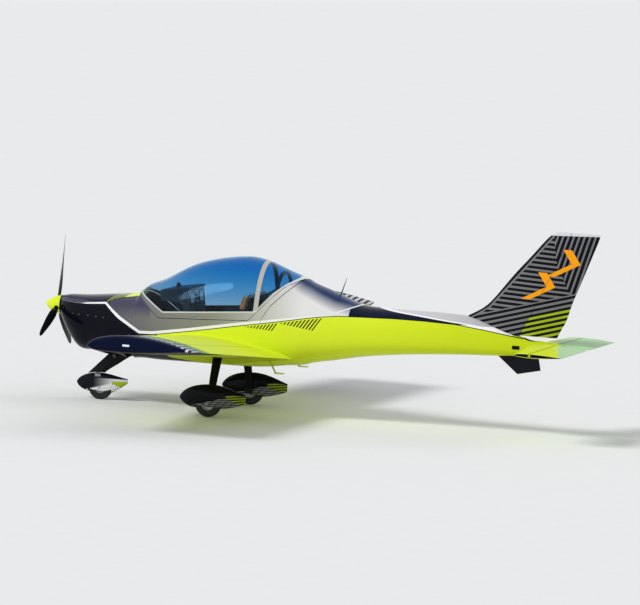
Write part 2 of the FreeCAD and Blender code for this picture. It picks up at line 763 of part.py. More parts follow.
fin_whole = Part.makeLoft([fin_wire(row) for row in fin_shares], True, False)
rudder_low, rudder_high = side_points(rudder_hinge_shares)
rudder_foot_height = rudder_low.z
rudder_line = rudder_high - rudder_low
rudder_reach = 1.2
rudder_end = rudder_low + rudder_line * rudder_reach
rudder_zone = side_prism([(rudder_low.x, rudder_low.z), (rudder_end.x, rudder_end.z),
                          (far_aft, rudder_end.z), (far_aft, rudder_low.z)],
                         fuselage_half_width)
rudder_start = rudder_low - rudder_line * (rudder_foot_gap / rudder_line.Length)
rudder_cut = side_prism([(rudder_start.x, rudder_foot_height - rudder_foot_gap),
                         (rudder_end.x, rudder_end.z), (far_aft, rudder_end.z),
                         (far_aft, rudder_foot_height - rudder_foot_gap)], fuselage_half_width)
below_rudder = side_prism([(rudder_start.x, rudder_foot_height),
                           (far_aft, rudder_foot_height), (far_aft, 0),
                           (rudder_start.x, 0)], fuselage_half_width)
above_foot = block(0, far_aft, -fuselage_half_width, fuselage_half_width,
                   rudder_foot_height, crown_height * 2)
above_cove = block(0, far_aft, -fuselage_half_width, fuselage_half_width,
                   rudder_foot_height - rudder_foot_gap, crown_height * 2)


def fin_half(height):
    # Half thickness of the fin where the hinge line crosses a height.
    rows = [(up(z), along(nose), along(tail), depth) for z, nose, tail, depth in fin_shares]
    for low, high in zip(rows, rows[1:]):
        if height <= high[0]:
            part = (height - low[0]) / (high[0] - low[0])
            nose, tail, depth = [mix(a, b, part) for a, b in zip(low[1:], high[1:])]
            break
    part = (height - rudder_low.z) / rudder_line.z
    place = (mix(rudder_low.x, rudder_high.x, part) - nose) / (tail - nose)
    return section_half(tail_section_shares, place)[0] * (tail - nose) * depth


rudder_foot_radius = fin_half(rudder_low.z) * rudder_nose_share
rudder_shoulder = up(fin_shares[-3][0])
rudder_top_radius = mix(rudder_foot_radius, fin_half(rudder_shoulder) * rudder_nose_share,
                        rudder_line.z / (rudder_shoulder - rudder_low.z))
fin, rudder = split_surface(fin_whole, rudder_low, rudder_high, rudder_foot_radius,
                            rudder_top_radius, (rudder_cut, rudder_zone, above_cove),
                            above_foot.common(fin_whole))
for share in hinge_place_shares:
    fin, rudder = hinged(fin, rudder, mix(rudder_low, rudder_high, share), rudder_line,
                         Vector(1, 0, 0),
                         mix(rudder_foot_radius, rudder_top_radius, share))
fin = fin.cut(below_rudder).cut(boom_outer)

# Ventral fin below the boom
ventral_top_shares = ((0.8684, 0.5188), (0.9540, 0.5188))
ventral_foot_shares = ((0.9147, 0.3954), (0.9624, 0.3954))
ventral_slope_shares = ((0.9000, 0.3870), (0.9869, 0.4529))
ventral_wires = []
for row in (ventral_top_shares, ventral_foot_shares):
    nose, tail = side_points(row)
    ventral_wires.append(section_wire(tail_section_shares, nose, tail, Vector(0, 1, 0),
                                      ventral_depth_share, tail_edge_thickness))
ventral_fin = Part.makeLoft(ventral_wires, True, True)
slope_points = [(point.x, point.z) for point in side_points(ventral_slope_shares)]
ventral_fin = ventral_fin.cut(side_prism(slope_points + [(slope_points[1][0], 0),
                                                         (slope_points[0][0], 0)],
                                         fuselage_half_width))
ventral_fin = ventral_fin.cut(boom_outer)


# Wheels
def tyre(radius, half_width, rim_radius):
    # Profile as shares of the sidewall's height and of the half width.
    bead, wall, shoulder = 0.84, 0.5, 0.9
    height = radius - rim_radius

    def at(rise_share, side_share):
        return Vector(side_share * half_width, 0, rim_radius + height * rise_share)

    edges = [Part.Arc(at(0, -bead), at(wall, -1), at(shoulder, -bead * bead)).toShape(),
             Part.Arc(at(shoulder, -bead * bead), at(1, 0), at(shoulder, bead * bead)).toShape(),
             Part.Arc(at(shoulder, bead * bead), at(wall, 1), at(0, bead)).toShape(),
             Part.makeLine(at(0, bead), at(0, -bead))]
    ring = Part.Face(Part.Wire(edges)).revolve(Vector(0, 0, 0), Vector(1, 0, 0), 360)
    return ring.rotate(Vector(0, 0, 0), Vector(0, 0, 1), 90) or ring


def wheel_rim(radius, half_width):
    # Half profile as shares: place along the half width, then of the radius.
    outline_shares = ((-0.84, 1.0), (-0.84, 0.9), (-0.2, 0.82), (-0.16, 0.4), (-0.7, 0.36),
                      (-0.7, 0.0), (0.7, 0.0), (0.7, 0.36), (0.16, 0.4), (0.2, 0.82),
                      (0.84, 0.9), (0.84, 1.0))
    bore = axle_radius + pin_clearance
    points = [Vector(place * half_width, 0, max(share * radius, bore))
              for place, share in outline_shares]
    rim = closed_face(points).revolve(Vector(0, 0, 0), Vector(1, 0, 0), 360)
    hole_count, hole_share, hole_place_share = 6, 0.1, 0.61
    holes = []
    for step in range(hole_count):
        turn = 2 * math.pi * step / hole_count
        place = Vector(-half_width, math.cos(turn) * radius * hole_place_share,
                       math.sin(turn) * radius * hole_place_share)
        holes.append(Part.makeCylinder(radius * hole_share, half_width * 2, place,
                                       Vector(1, 0, 0)))
    rim = rim.cut(holes)
    return rim.rotate(Vector(0, 0, 0), Vector(0, 0, 1), 90) or rim


def moved(shape, x, y, z):
    copy = shape.copy()
    copy.translate(Vector(x, y, z))
    return copy


main_axle = Vector(wheelbase, track_half_width, main_tyre_radius)
nose_axle = Vector(0, 0, nose_tyre_radius)
main_tyre = moved(tyre(main_tyre_radius, main_tyre_half_width, main_rim_radius), *main_axle)
main_rim = moved(wheel_rim(main_rim_radius, main_tyre_half_width), *main_axle)
nose_tyre = moved(tyre(nose_tyre_radius, nose_tyre_half_width, nose_rim_radius), *nose_axle)
nose_rim = moved(wheel_rim(nose_rim_radius, nose_tyre_half_width), *nose_axle)

# Spats: place from the axle as a share of the length, then top, bottom and half
# width as shares of the spat's height and of its width.
main_spat_length, main_spat_height, main_spat_half_width = 828.0, 398.0, 86.0
nose_spat_length, nose_spat_height, nose_spat_half_width = 642.0, 326.0, 74.0
main_spat_shares = (
    (-0.443, 0.575, 0.525, 0.1), (-0.4, 0.71, 0.42, 0.45), (-0.31, 0.85, 0.3, 0.74),
    (-0.17, 0.955, 0.252, 0.94), (0.0, 1.0, 0.245, 1.0), (0.17, 0.98, 0.256, 0.95),
    (0.31, 0.91, 0.31, 0.76), (0.45, 0.81, 0.392, 0.44), (0.557, 0.73, 0.485, 0.1))
nose_spat_shares = (
    (-0.475, 0.632, 0.57, 0.12), (-0.4, 0.8, 0.4, 0.5), (-0.268, 0.925, 0.292, 0.8),
    (-0.125, 0.985, 0.25, 0.96), (0.0, 1.0, 0.236, 1.0), (0.14, 0.98, 0.236, 0.95),
    (0.28, 0.93, 0.33, 0.76), (0.405, 0.88, 0.49, 0.48), (0.525, 0.84, 0.66, 0.12))
spat_points = 16
spat_power = 2.3


def spat_wire(station, top, bottom, half, offset):
    middle, reach = (top + bottom) / 2, (top - bottom) / 2 + offset
    points = []
    for step in range(spat_points):
        turn = 2 * math.pi * step / spat_points
        side, rise = math.cos(turn), math.sin(turn)
        points.append(Vector(station, math.copysign(abs(side) ** (2 / spat_power), side)
                             * (half + offset),
                             middle + math.copysign(abs(rise) ** (2 / spat_power), rise)
                             * reach))
    return closed_curve(points)


def spat(shares, length, height, half_width, axle, tyre_radius, tyre_half_width):
    rows = [(axle.x + place * length, top * height, bottom * height, side * half_width)
            for place, top, bottom, side in shares]
    outer = Part.makeLoft([spat_wire(*row, 0) for row in rows], True, False)
    inner = Part.makeLoft([spat_wire(*row, -spat_wall) for row in rows[1:-1]], True, False)
    skirt = rows[len(rows) // 2][2]
    half_slot = math.sqrt(tyre_radius ** 2 - (axle.z - skirt - spat_wall * 2) ** 2)
    half_slot += moving_gap * 2
    half_across = tyre_half_width + moving_gap * 2
    slot = block(axle.x - half_slot, axle.x + half_slot, -half_across, half_across,
                 0, axle.z)
    return moved(outer.cut(inner).cut(slot), 0, axle.y, 0)


main_spat = spat(main_spat_shares, main_spat_length, main_spat_height, main_spat_half_width,
                 main_axle, main_tyre_radius, main_tyre_half_width)
nose_spat = spat(nose_spat_shares, nose_spat_length, nose_spat_height, nose_spat_half_width,
                 nose_axle, nose_tyre_radius, nose_tyre_half_width)

# Main legs: sprung blades from the wing root down to the axle
leg_foot_inset = main_spat_half_width + moving_gap / 2 + main_leg_thickness / 2
leg_foot_y = track_half_width - leg_foot_inset
leg_spread = 262.0
leg_top_chord, leg_foot_chord = 124.0, 88.0
leg_lean = -8.0
# Height from the axle to the wing, how far the foot's place is kept, and blade size.
leg_shares = ((1.12, 0.0), (0.86, 0.2), (0.66, 0.44), (0.46, 0.7), (0.26, 0.9), (0.08, 1.0),
              (-0.04, 1.0))
leg_root_height = wing_root_height


blunt_share, crest_share = 0.3, 0.2


def blade_wire(middle, chord, thickness):
    half = Vector(chord / 2, 0, 0)
    side = Vector(0, thickness / 2, 0)
    blunt = side * blunt_share
    edges = []
    for turn in (1, -1):
        edges.append(Part.Arc(middle - half * turn + blunt * turn,
                              middle - half * turn * crest_share + side * turn,
                              middle + half * turn + blunt * turn).toShape())
        edges.append(Part.makeLine(middle + half * turn + blunt * turn,
                                   middle + half * turn - blunt * turn))
    return Part.Wire(edges)


leg_wires = []
for rise, out in leg_shares:
    height = main_axle.z + (leg_root_height - main_axle.z) * rise
    middle = Vector(wheelbase + leg_lean * (1 - out),
                    leg_foot_y - leg_spread * (1 - out), height)
    leg_wires.append(blade_wire(middle, mix(leg_top_chord, leg_foot_chord, out),
                                main_leg_thickness))
main_leg = Part.makeLoft(leg_wires, True, False)
main_leg = main_leg.cut(wing_whole)
leg_keep = block(wheelbase - leg_top_chord, wheelbase + leg_top_chord, 0, main_axle.y,
                 0, wing_root_height)
leg_pieces = sorted(main_leg.common(leg_keep).Solids, key=lambda piece: piece.BoundBox.ZMin)
main_leg = leg_pieces[0]

# Axle stubs with their brake flange and the caliper over the disc
axle_inner = leg_foot_y
axle_outer = main_axle.y + main_spat_half_width
flange_radius, flange_thickness = 34.0, 7.0
flange_start = leg_foot_y + main_leg_thickness / 2
axle_socket = 6.0
axle_socket_depth = 24.0
main_axle_stub = joined([
    rod(Vector(wheelbase, axle_inner, main_axle.z),
        Vector(wheelbase, axle_outer, main_axle.z), axle_radius),
    rod(Vector(wheelbase, flange_start, main_axle.z),
        Vector(wheelbase, main_axle.y - main_spat_half_width + spat_wall + flange_thickness,
               main_axle.z), flange_radius)])
main_leg = main_leg.cut(main_axle_stub)
main_spat = main_spat.cut(main_axle_stub)
disc_inner = main_axle.y - main_tyre_half_width - brake_disc_thickness / 2
brake_disc = rod(Vector(wheelbase, disc_inner, main_axle.z),
                 Vector(wheelbase, disc_inner + brake_disc_thickness, main_axle.z),
                 brake_disc_radius)
hat_end_share, hat_radius_share = 0.7, 0.36
disc_hat = rod(Vector(wheelbase, disc_inner, main_axle.z),
               Vector(wheelbase, main_axle.y - main_tyre_half_width * hat_end_share,
                      main_axle.z),
               main_rim_radius * hat_radius_share)
brake_disc = brake_disc.fuse(disc_hat).cut(
    rod(Vector(wheelbase, axle_inner, main_axle.z), main_axle, axle_radius + pin_clearance))
brake_disc = brake_disc.cut(main_rim)
caliper_length, caliper_depth = 64.0, 30.0
caliper_place_share, caliper_foot_share = 0.98, 0.8
caliper_inner = main_axle.y - main_spat_half_width + spat_wall + panel_gap
caliper_outer = main_axle.y - main_tyre_half_width - moving_gap
caliper_radius = brake_disc_radius * caliper_place_share
caliper_bridge = block(wheelbase - caliper_length / 2, wheelbase + caliper_length / 2,
                       caliper_inner, caliper_outer,
                       main_axle.z + flange_radius * caliper_foot_share,
                       main_axle.z + caliper_radius + caliper_depth)
caliper_slot = rod(Vector(wheelbase, disc_inner - moving_gap, main_axle.z),
                   Vector(wheelbase, caliper_outer + moving_gap, main_axle.z),
                   brake_disc_radius + moving_gap)
brake_caliper = caliper_bridge.cut(caliper_slot).cut(main_axle_stub)
main_spat = main_spat.cut(brake_caliper)

# Nose fork: crown, two arms, axle and kingpin turn as one under the nose leg.
kingpin_station = nose_axle.x - caster_trail
crown_low = nose_tyre_radius * 2 + moving_gap
crown_plate = 9.0
boss_share, hub_boss_share, bracket_share = 1.8, 2.0, 3.0
fork_inner = nose_tyre_half_width + fork_arm_gap
fork_outer = fork_inner + fork_plate
arm_half_width = 20.0
crown_front = kingpin_station - kingpin_radius * hub_boss_share
fork_crown = block(crown_front, nose_axle.x, -fork_outer, fork_outer,
                   crown_low, crown_low + crown_plate)
fork_parts = [fork_crown]
for side in (-1, 1):
    arm_points = [(crown_front, crown_low + crown_plate), (nose_axle.x, crown_low + crown_plate),
                  (nose_axle.x + arm_half_width, nose_axle.z),
                  (nose_axle.x + arm_half_width, nose_axle.z - arm_half_width),
                  (nose_axle.x - arm_half_width, nose_axle.z - arm_half_width),
                  (nose_axle.x - arm_half_width, nose_axle.z)]
    low, high = sorted((side * fork_inner, side * fork_outer))
    face = closed_face([Vector(x, low, z) for x, z in arm_points])
    fork_parts.append(face.extrude(Vector(0, high - low, 0)))
fork_parts.append(rod(nose_axle - Vector(0, nose_spat_half_width, 0),
                      nose_axle + Vector(0, nose_spat_half_width, 0), axle_radius))
nose_leg_foot = nose_spat_height + moving_gap
kingpin_length = 62.0
fork_parts.append(rod(Vector(kingpin_station, 0, crown_low),
                      Vector(kingpin_station, 0, nose_leg_foot - moving_gap / 2),
                      kingpin_radius * boss_share))
fork_parts.append(rod(Vector(kingpin_station, 0, crown_low),
                      Vector(kingpin_station, 0, nose_leg_foot + kingpin_length),
                      kingpin_radius))
nose_fork = joined(fork_parts)
towbar_socket = rod(nose_axle + Vector(0, nose_spat_half_width - axle_socket_depth, 0),
                    nose_axle + Vector(0, nose_spat_half_width + axle_socket_depth, 0),
                    axle_socket)
nose_fork = nose_fork.cut([towbar_socket, mirrored(towbar_socket)])
nose_spat = nose_spat.cut(nose_fork)
socket_plug = rod(nose_axle - Vector(0, nose_spat_half_width * 2, 0),
                  nose_axle + Vector(0, nose_spat_half_width * 2, 0), axle_radius)
nose_spat = nose_spat.cut(socket_plug)

# Nose leg: a raked streamlined fairing from the firewall to the kingpin
nose_leg_shares = (
    (-0.20, 0.0520, 0.0924, 0.040),
    (0.00, 0.0624, 0.0932, 0.052),
    (0.16, 0.0708, 0.1037, 0.052),
    (0.40, 0.0834, 0.1228, 0.050),
    (0.65, 0.0966, 0.1418, 0.050),
    (0.85, 0.1070, 0.1557, 0.052),
    (1.00, 0.1149, 0.1587, 0.055),
)


def leg_wire(row):
    height, front, aft, half = row
    middle = Vector((along(front) + along(aft)) / 2, 0, height)
    chord = along(aft) - along(front)
    return blade_wire(middle, chord, half * 2 * fuselage_half_width)


nose_leg_rows = []
leg_root_share, leg_bracket_share, leg_boss_share = 1.22, 0.4, 1.2
bracket_half = kingpin_radius * bracket_share
for rise, front, aft, half in nose_leg_shares:
    height = mix(nose_leg_foot, keel_at(firewall_station) * leg_root_share, rise)
    nose_leg_rows.append((height, front, aft, half))
nose_leg = Part.makeLoft([leg_wire(row) for row in nose_leg_rows], True, False)
# The fairing's foot follows the spat's ridge, which swings below it.
ridge = [Vector(nose_axle.x + place * nose_spat_length, -fuselage_half_width,
                top * nose_spat_height + moving_gap)
         for place, top, bottom, side in nose_spat_shares]
ridge_curve = Part.BSplineCurve()
ridge_curve.interpolate(ridge)
ridge_low = [Vector(ridge[-1].x, -fuselage_half_width, 0),
             Vector(ridge[0].x, -fuselage_half_width, 0)]
ridge_face = Part.Face(Part.Wire([ridge_curve.toShape(),
                                  Part.makeLine(ridge[-1], ridge_low[0]),
                                  Part.makeLine(ridge_low[0], ridge_low[1]),
                                  Part.makeLine(ridge_low[1], ridge[0])]))
nose_leg = nose_leg.cut(ridge_face.extrude(Vector(0, 2 * fuselage_half_width, 0)))
nose_leg = nose_leg.cut(rod(Vector(kingpin_station, 0, 0),
                            Vector(kingpin_station, 0, nose_leg_foot),
                            kingpin_radius * boss_share + moving_gap / 2))
leg_bracket = block(firewall_station - engine_aft_gap * leg_bracket_share, firewall_station,
                    -bracket_half, bracket_half,
                    nose_leg_rows[-1][0] - bracket_half, nose_leg_rows[-1][0])
leg_pin_boss = rod(Vector(kingpin_station, 0, nose_leg_foot),
                   Vector(kingpin_station, 0,
                          nose_leg_foot + kingpin_length * leg_boss_share),
                   kingpin_radius * hub_boss_share)
nose_leg = joined([nose_leg, leg_bracket, leg_pin_boss])
nose_leg = nose_leg.cut(rod(Vector(kingpin_station, 0, 0),
                            Vector(kingpin_station, 0, nose_leg_foot + kingpin_length
                                   + panel_gap), kingpin_radius + pin_clearance))
nose_leg = nose_leg.cut(block(firewall_station, far_aft, -side_reach, side_reach,
                              0, crown_height))
leg_hole_gap = 20.0
leg_hole = Part.makeLoft([blade_wire(Vector((along(front) + along(aft)) / 2, 0, height),
                                     along(aft) - along(front) + leg_hole_gap,
                                     half * 2 * fuselage_half_width + leg_hole_gap)
                          for height, front, aft, half in nose_leg_rows], True, False)
cowl_lower = cowl_lower.cut(leg_hole)

# Propeller and spinner
# Radius, chord and depth as shares of the radius, then pitch in degrees.
blade_shares = ((0.04, 0.05, 0.045, 50), (0.13, 0.062, 0.04, 47), (0.25, 0.105, 0.026, 40),
                (0.42, 0.128, 0.017, 31), (0.62, 0.122, 0.012, 24), (0.8, 0.1, 0.009, 19),
                (0.93, 0.076, 0.0065, 16), (1.0, 0.03, 0.004, 15))
hub_station = cowl_nose_station - spinner_cowl_gap - backplate_thickness - hub_length / 2
backplate_front = cowl_nose_station - spinner_cowl_gap - backplate_thickness


def blade_section(row):
    radius_share, chord_share, depth_share, pitch = row
    half = propeller_radius * chord_share / 2
    depth = propeller_radius * depth_share
    turn = math.radians(pitch)
    along_chord = Vector(math.sin(turn), -math.cos(turn), 0)
    out = Vector(-math.cos(turn), -math.sin(turn), 0)
    base = Vector(hub_station, 0, propeller_radius * radius_share)
    back_share, face_share = 0.65, 0.25
    front, rear = base - along_chord * half, base + along_chord * half
    bulge = along_chord * (half * face_share)
    return Part.Wire([Part.Arc(front, base - bulge + out * (depth * back_share),
                               rear).toShape(),
                      Part.Arc(rear, base - bulge - out * (depth * face_share),
                               front).toShape()])


blade = Part.makeLoft([blade_section(row) for row in blade_shares], True, False)
thrust_axis = Vector(hub_station, 0, thrust_line_height)
blades = []
sleeves = []
sleeve_share, sleeve_end_share = 0.56, 0.7
sleeve_radius = hub_radius * sleeve_share
for step in range(propeller_blade_count):
    turn = 90 + blade_drop_angle + step * 360 / propeller_blade_count
    copy = moved(blade, 0, 0, thrust_line_height)
    copy.rotate(thrust_axis, Vector(1, 0, 0), turn)
    blades.append(copy)
    sleeve = rod(thrust_axis, thrust_axis + Vector(0, 0, spinner_radius * sleeve_end_share),
                 sleeve_radius)
    sleeve.rotate(thrust_axis, Vector(1, 0, 0), turn)
    sleeves.append(sleeve)
hub = rod(Vector(hub_station - hub_length / 2, 0, thrust_line_height),
          Vector(backplate_front, 0, thrust_line_height), hub_radius)
propeller = joined([hub] + sleeves + blades)
spinner_tip = backplate_front - spinner_length
# Ogive outline from the tip: distance aft and radius as shares.
spinner_shares = ((0.0, 0.0), (0.06, 0.2), (0.2, 0.43), (0.42, 0.67), (0.7, 0.87), (1.0, 1.0))


def ogive(offset):
    points = [Vector(spinner_tip + offset + share * (spinner_length - offset), 0,
                     radius * (spinner_radius - offset)) for share, radius in spinner_shares]
    curve = Part.BSplineCurve()
    curve.interpolate(points)
    wire = Part.Wire([curve.toShape(), Part.makeLine(points[-1], Vector(points[-1].x, 0, 0)),
                      Part.makeLine(Vector(points[-1].x, 0, 0), points[0])])
    turned = Part.Face(wire).revolve(Vector(0, 0, 0), Vector(1, 0, 0), 360)
    return moved(turned, 0, 0, thrust_line_height)


spinner = ogive(0).cut(ogive(spinner_wall))
spinner_holes = []
hole_start_share, hole_end_share, hole_share = 0.4, 1.5, 1.32
for step in range(propeller_blade_count):
    turn = 90 + blade_drop_angle + step * 360 / propeller_blade_count
    hole = rod(thrust_axis + Vector(0, 0, spinner_radius * hole_start_share),
               thrust_axis + Vector(0, 0, spinner_radius * hole_end_share),
               sleeve_radius * hole_share)
    hole.rotate(thrust_axis, Vector(1, 0, 0), turn)
    spinner_holes.append(hole)
spinner = spinner.cut(spinner_holes)
backplate = rod(Vector(backplate_front, 0, thrust_line_height),
                Vector(backplate_front + backplate_thickness, 0, thrust_line_height),
                spinner_radius)

# Cabin furniture
floor_height_share = 0.3410
floor_front_share, floor_aft_share = 0.1809, 0.2814
floor_thickness = 12.0
cabin_floor = cabin_inner.common(
    block(along(floor_front_share), along(floor_aft_share), -side_reach, side_reach,
          up(floor_height_share) - floor_thickness, up(floor_height_share)))

seat_aft_share = 0.3579
seat_base_top_share = 0.3724
seat_base = cabin_inner.common(
    block(along(floor_aft_share), along(seat_aft_share), -side_reach, side_reach,
          0, up(seat_base_top_share)))

seat_side_shares = ((0.2827, 0.3729), (0.2821, 0.4289), (0.2900, 0.4425), (0.3469, 0.4184),
                    (0.3778, 0.7646), (0.3832, 0.7793), (0.3919, 0.7730), (0.3936, 0.7531),
                    (0.3646, 0.4132), (0.3573, 0.3729))
seat_middle_share, seat_half_share = 0.43, 0.37
seat_round = 18.0
seats = []
for side in (-1, 1):
    middle = side * seat_middle_share * fuselage_half_width
    half = seat_half_share * fuselage_half_width
    outline = [Vector(point.x, middle - half, point.z) for point in side_points(seat_side_shares)]
    seat = closed_face(outline).extrude(Vector(0, half * 2, 0))
    seats.append(rounded(seat, seat_round))
seats = Part.makeCompound(seats)

console_side_shares = ((0.2457, 0.3415), (0.2457, 0.4733), (0.2647, 0.4838), (0.3137, 0.4603),
                       (0.3326, 0.4540), (0.3326, 0.3729), (0.2816, 0.3729), (0.2814, 0.3415))
console_half_share = 0.048
console_outline = [Vector(point.x, -console_half_share * fuselage_half_width, point.z)
                   for point in side_points(console_side_shares)]
centre_console = closed_face(console_outline).extrude(
    Vector(0, 2 * console_half_share * fuselage_half_width, 0)).cut(seat_base)

panel_side_shares = ((0.2050, 0.6799), (0.2050, 0.7469), (0.2125, 0.7563), (0.2631, 0.7803),
                     (0.2679, 0.7741), (0.2644, 0.7646), (0.2694, 0.6302), (0.2647, 0.6067),
                     (0.2576, 0.6067), (0.2536, 0.6799))
panel_front_half_share, panel_aft_half_share = 0.47, 0.66
panel_outline = [(point.x, point.z) for point in side_points(panel_side_shares)]
panel_front, panel_aft = panel_outline[0][0], max(x for x, z in panel_outline)
panel_plan = closed_face([
    Vector(panel_front, -panel_front_half_share * fuselage_half_width, 0),
    Vector(panel_aft, -panel_aft_half_share * fuselage_half_width, 0),
    Vector(panel_aft, panel_aft_half_share * fuselage_half_width, 0),
    Vector(panel_front, panel_front_half_share * fuselage_half_width, 0)])
instrument_panel = side_prism(panel_outline, side_reach).common(
    panel_plan.extrude(Vector(0, 0, crown_height)))
# Pedestal carries the panel from the console.
pedestal_shares = ((0.2457, 0.4738), (0.2576, 0.6072), (0.2647, 0.6072), (0.2647, 0.4843))
pedestal = side_prism([(point.x, point.z) for point in side_points(pedestal_shares)],
                      console_half_share * fuselage_half_width)
instrument_panel = instrument_panel.fuse(pedestal)
# Side wings of the panel run out to the cabin walls.
panel_web_shares = ((0.2576, 0.5544), (0.2576, 0.6072), (0.2631, 0.6072), (0.2631, 0.5544))
panel_beam_shares = ((0.2576, 0.5544), (0.2576, 0.5743), (0.2631, 0.5743), (0.2631, 0.5544))
panel_web = side_prism([(point.x, point.z) for point in side_points(panel_web_shares)],
                       panel_front_half_share * fuselage_half_width)
panel_beam = side_prism([(point.x, point.z) for point in side_points(panel_beam_shares)],
                        side_reach).common(cabin_inner)
instrument_panel = joined([instrument_panel, panel_web, panel_beam])

stick_foot_share, stick_bend_share, stick_top_share = (0.2726, 0.3415), (0.2845, 0.4864), (0.2950, 0.6485)
stick_radius, grip_radius, grip_length = 10.0, 17.0, 105.0
sticks = []
for side in (-1, 1):
    middle = side * seat_middle_share * fuselage_half_width
    foot, bend, top = [Vector(along(x), middle, up(z)) for x, z in
                       (stick_foot_share, stick_bend_share, stick_top_share)]
    grip = rod(top - (top - bend) * (grip_length / (top - bend).Length), top, grip_radius)
    sticks.append(joined([rod(foot, bend, stick_radius), Part.makeSphere(stick_radius, bend),
                          rod(bend, top, stick_radius), grip]))
control_sticks = Part.makeCompound([stick.cut(cabin_floor) for stick in sticks])

# Levers on the console: throttle, choke and flap
lever_foot_shares = ((0.2745, 0.4733), (0.2846, 0.4655), (0.3074, 0.4550))
lever_top_shares = ((0.2792, 0.5282), (0.2887, 0.5099), (0.2987, 0.5309))
lever_across_shares = (0.2, -0.3, 0.0)
lever_radius, knob_radius = 5.0, 15.0
levers = []
for foot_share, top_share, across_share in zip(lever_foot_shares, lever_top_shares,
                                               lever_across_shares):
    foot, top = side_points((foot_share, top_share))
    across = Vector(0, across_share * console_half_share * fuselage_half_width, 0)
    levers.append(rod(foot + across, top + across, lever_radius).fuse(
        Part.makeSphere(knob_radius, top + across)).cut(centre_console))
console_levers = Part.makeCompound([largest(lever) for lever in levers])

pedal_station_share = 0.2034
pedal_length, pedal_width, pedal_thickness = 130.0, 84.0, 12.0
pedal_place_shares = (0.28, 0.56)
pedal_low_share = 0.3
pedals = []
for side in (-1, 1):
    for place_share in pedal_place_shares:
        middle = side * place_share * fuselage_half_width
        foot = Vector(along(pedal_station_share), middle, up(floor_height_share))
        pad = block(foot.x, foot.x + pedal_thickness, middle - pedal_width / 2,
                    middle + pedal_width / 2, foot.z + pedal_length * pedal_low_share,
                    foot.z + pedal_length * (1 + pedal_low_share))
        stem = rod(foot + Vector(pedal_thickness / 2, 0, 0),
                   foot + Vector(pedal_thickness / 2, 0, pedal_length), pedal_thickness / 2)
        pedals.append(pad.fuse(stem))
rudder_pedals = Part.makeCompound(pedals)

shelf_height_share = 0.5675
shelf_front_share = 0.4006
shelf_thickness = 12.0
baggage_shelf = cabin_inner.common(
    block(along(shelf_front_share), bulkhead_station - bulkhead_thickness, -side_reach,
          side_reach, up(shelf_height_share) - shelf_thickness, up(shelf_height_share)))

roll_bar_share = 0.4373
roll_bar_width, roll_bar_depth, roll_bar_inset = 34.0, 34.0, 40.0
roll_bar_station = along(roll_bar_share)


def arch(offset, station):
    face = Part.Face(ring_wire(*mould_at(station), offset))
    return face.extrude(Vector(roll_bar_width, 0, 0))


roll_bar = arch(-roll_bar_inset, roll_bar_station).cut(
    arch(-roll_bar_inset - roll_bar_depth, roll_bar_station))
roll_bar = roll_bar.common(block(roll_bar_station, roll_bar_station + roll_bar_width,
                                 -side_reach, side_reach, up(shelf_height_share),
                                 crown_height))

# Canopy latch handles follow the skin of the frame's side rails.
latch_place_shares = ((0.2792, 0.6067), (0.2792, 0.6161), (0.2821, 0.6203), (0.2944, 0.6224),
                      (0.2950, 0.6172), (0.2827, 0.6109))
latch_proud = 7.0
latch_band = hull(latch_proud, cowl_frame, cabin_frame).cut(cabin_outer)
canopy_latches = latch_band.common(side_prism(
    [(point.x, point.z) for point in side_points(latch_place_shares)], side_reach))

# Boarding steps behind the wing
step_root_share, step_pad_share = 0.4362, 0.4575
step_out_shares = (0.72, 0.98)
step_height_shares = (0.3682, 0.2960)
step_round_share = 0.3
step_radius, step_pad_length, step_pad_width, step_pad_thickness = 11.0, 104.0, 88.0, 12.0
step_root = Vector(along(step_root_share), step_out_shares[0] * fuselage_half_width,
                   up(step_height_shares[0]))
step_end = Vector(along(step_pad_share), step_out_shares[1] * fuselage_half_width,
                  up(step_height_shares[1]))
step_pad = rounded(block(step_end.x - step_radius, step_end.x + step_pad_length,
                         step_end.y - step_pad_width / 2, step_end.y + step_pad_width / 2,
                         step_end.z - step_pad_thickness / 2,
                         step_end.z + step_pad_thickness / 2),
                   step_pad_thickness * step_round_share)
step_rod = joined([rod(step_root, step_end, step_radius), step_pad])
boarding_step = largest(step_rod.cut([cabin_outer, wing_right]))
boarding_step_left = largest(mirrored(step_rod).cut([cabin_outer, wing_left]))

# Whip antenna on the spine
antenna_share = 0.5536
antenna_lean, antenna_height = 64.0, 218.0
antenna_foot_radius, antenna_tip_radius = 9.0, 2.0
antenna_foot = Vector(along(antenna_share), 0, crown_at(along(antenna_share)) - boom_wall / 2)
antenna_line = Vector(antenna_lean, 0, antenna_height)
antenna = Part.makeCone(antenna_foot_radius, antenna_tip_radius, antenna_line.Length,
                        antenna_foot, antenna_line).cut(boom_outer)

# Position lights on the wing tips
light_place_share = 0.37
light_length, light_out, light_height = 92.0, 12.0, 26.0
tip_nose, tip_tail = wing_place(wing_span / 2)
light_middle = tip_nose + (tip_tail - tip_nose) * light_place_share + Vector(
    0, 0, light_height)
light_round_share = 0.9
lamp = rounded(block(light_middle.x - light_length / 2, light_middle.x + light_length / 2,
                     light_middle.y - light_out, light_middle.y + light_out,
                     light_middle.z - light_height / 2, light_middle.z + light_height / 2),
               light_out * light_round_share)
nav_light = largest(lamp.cut(wing_whole))

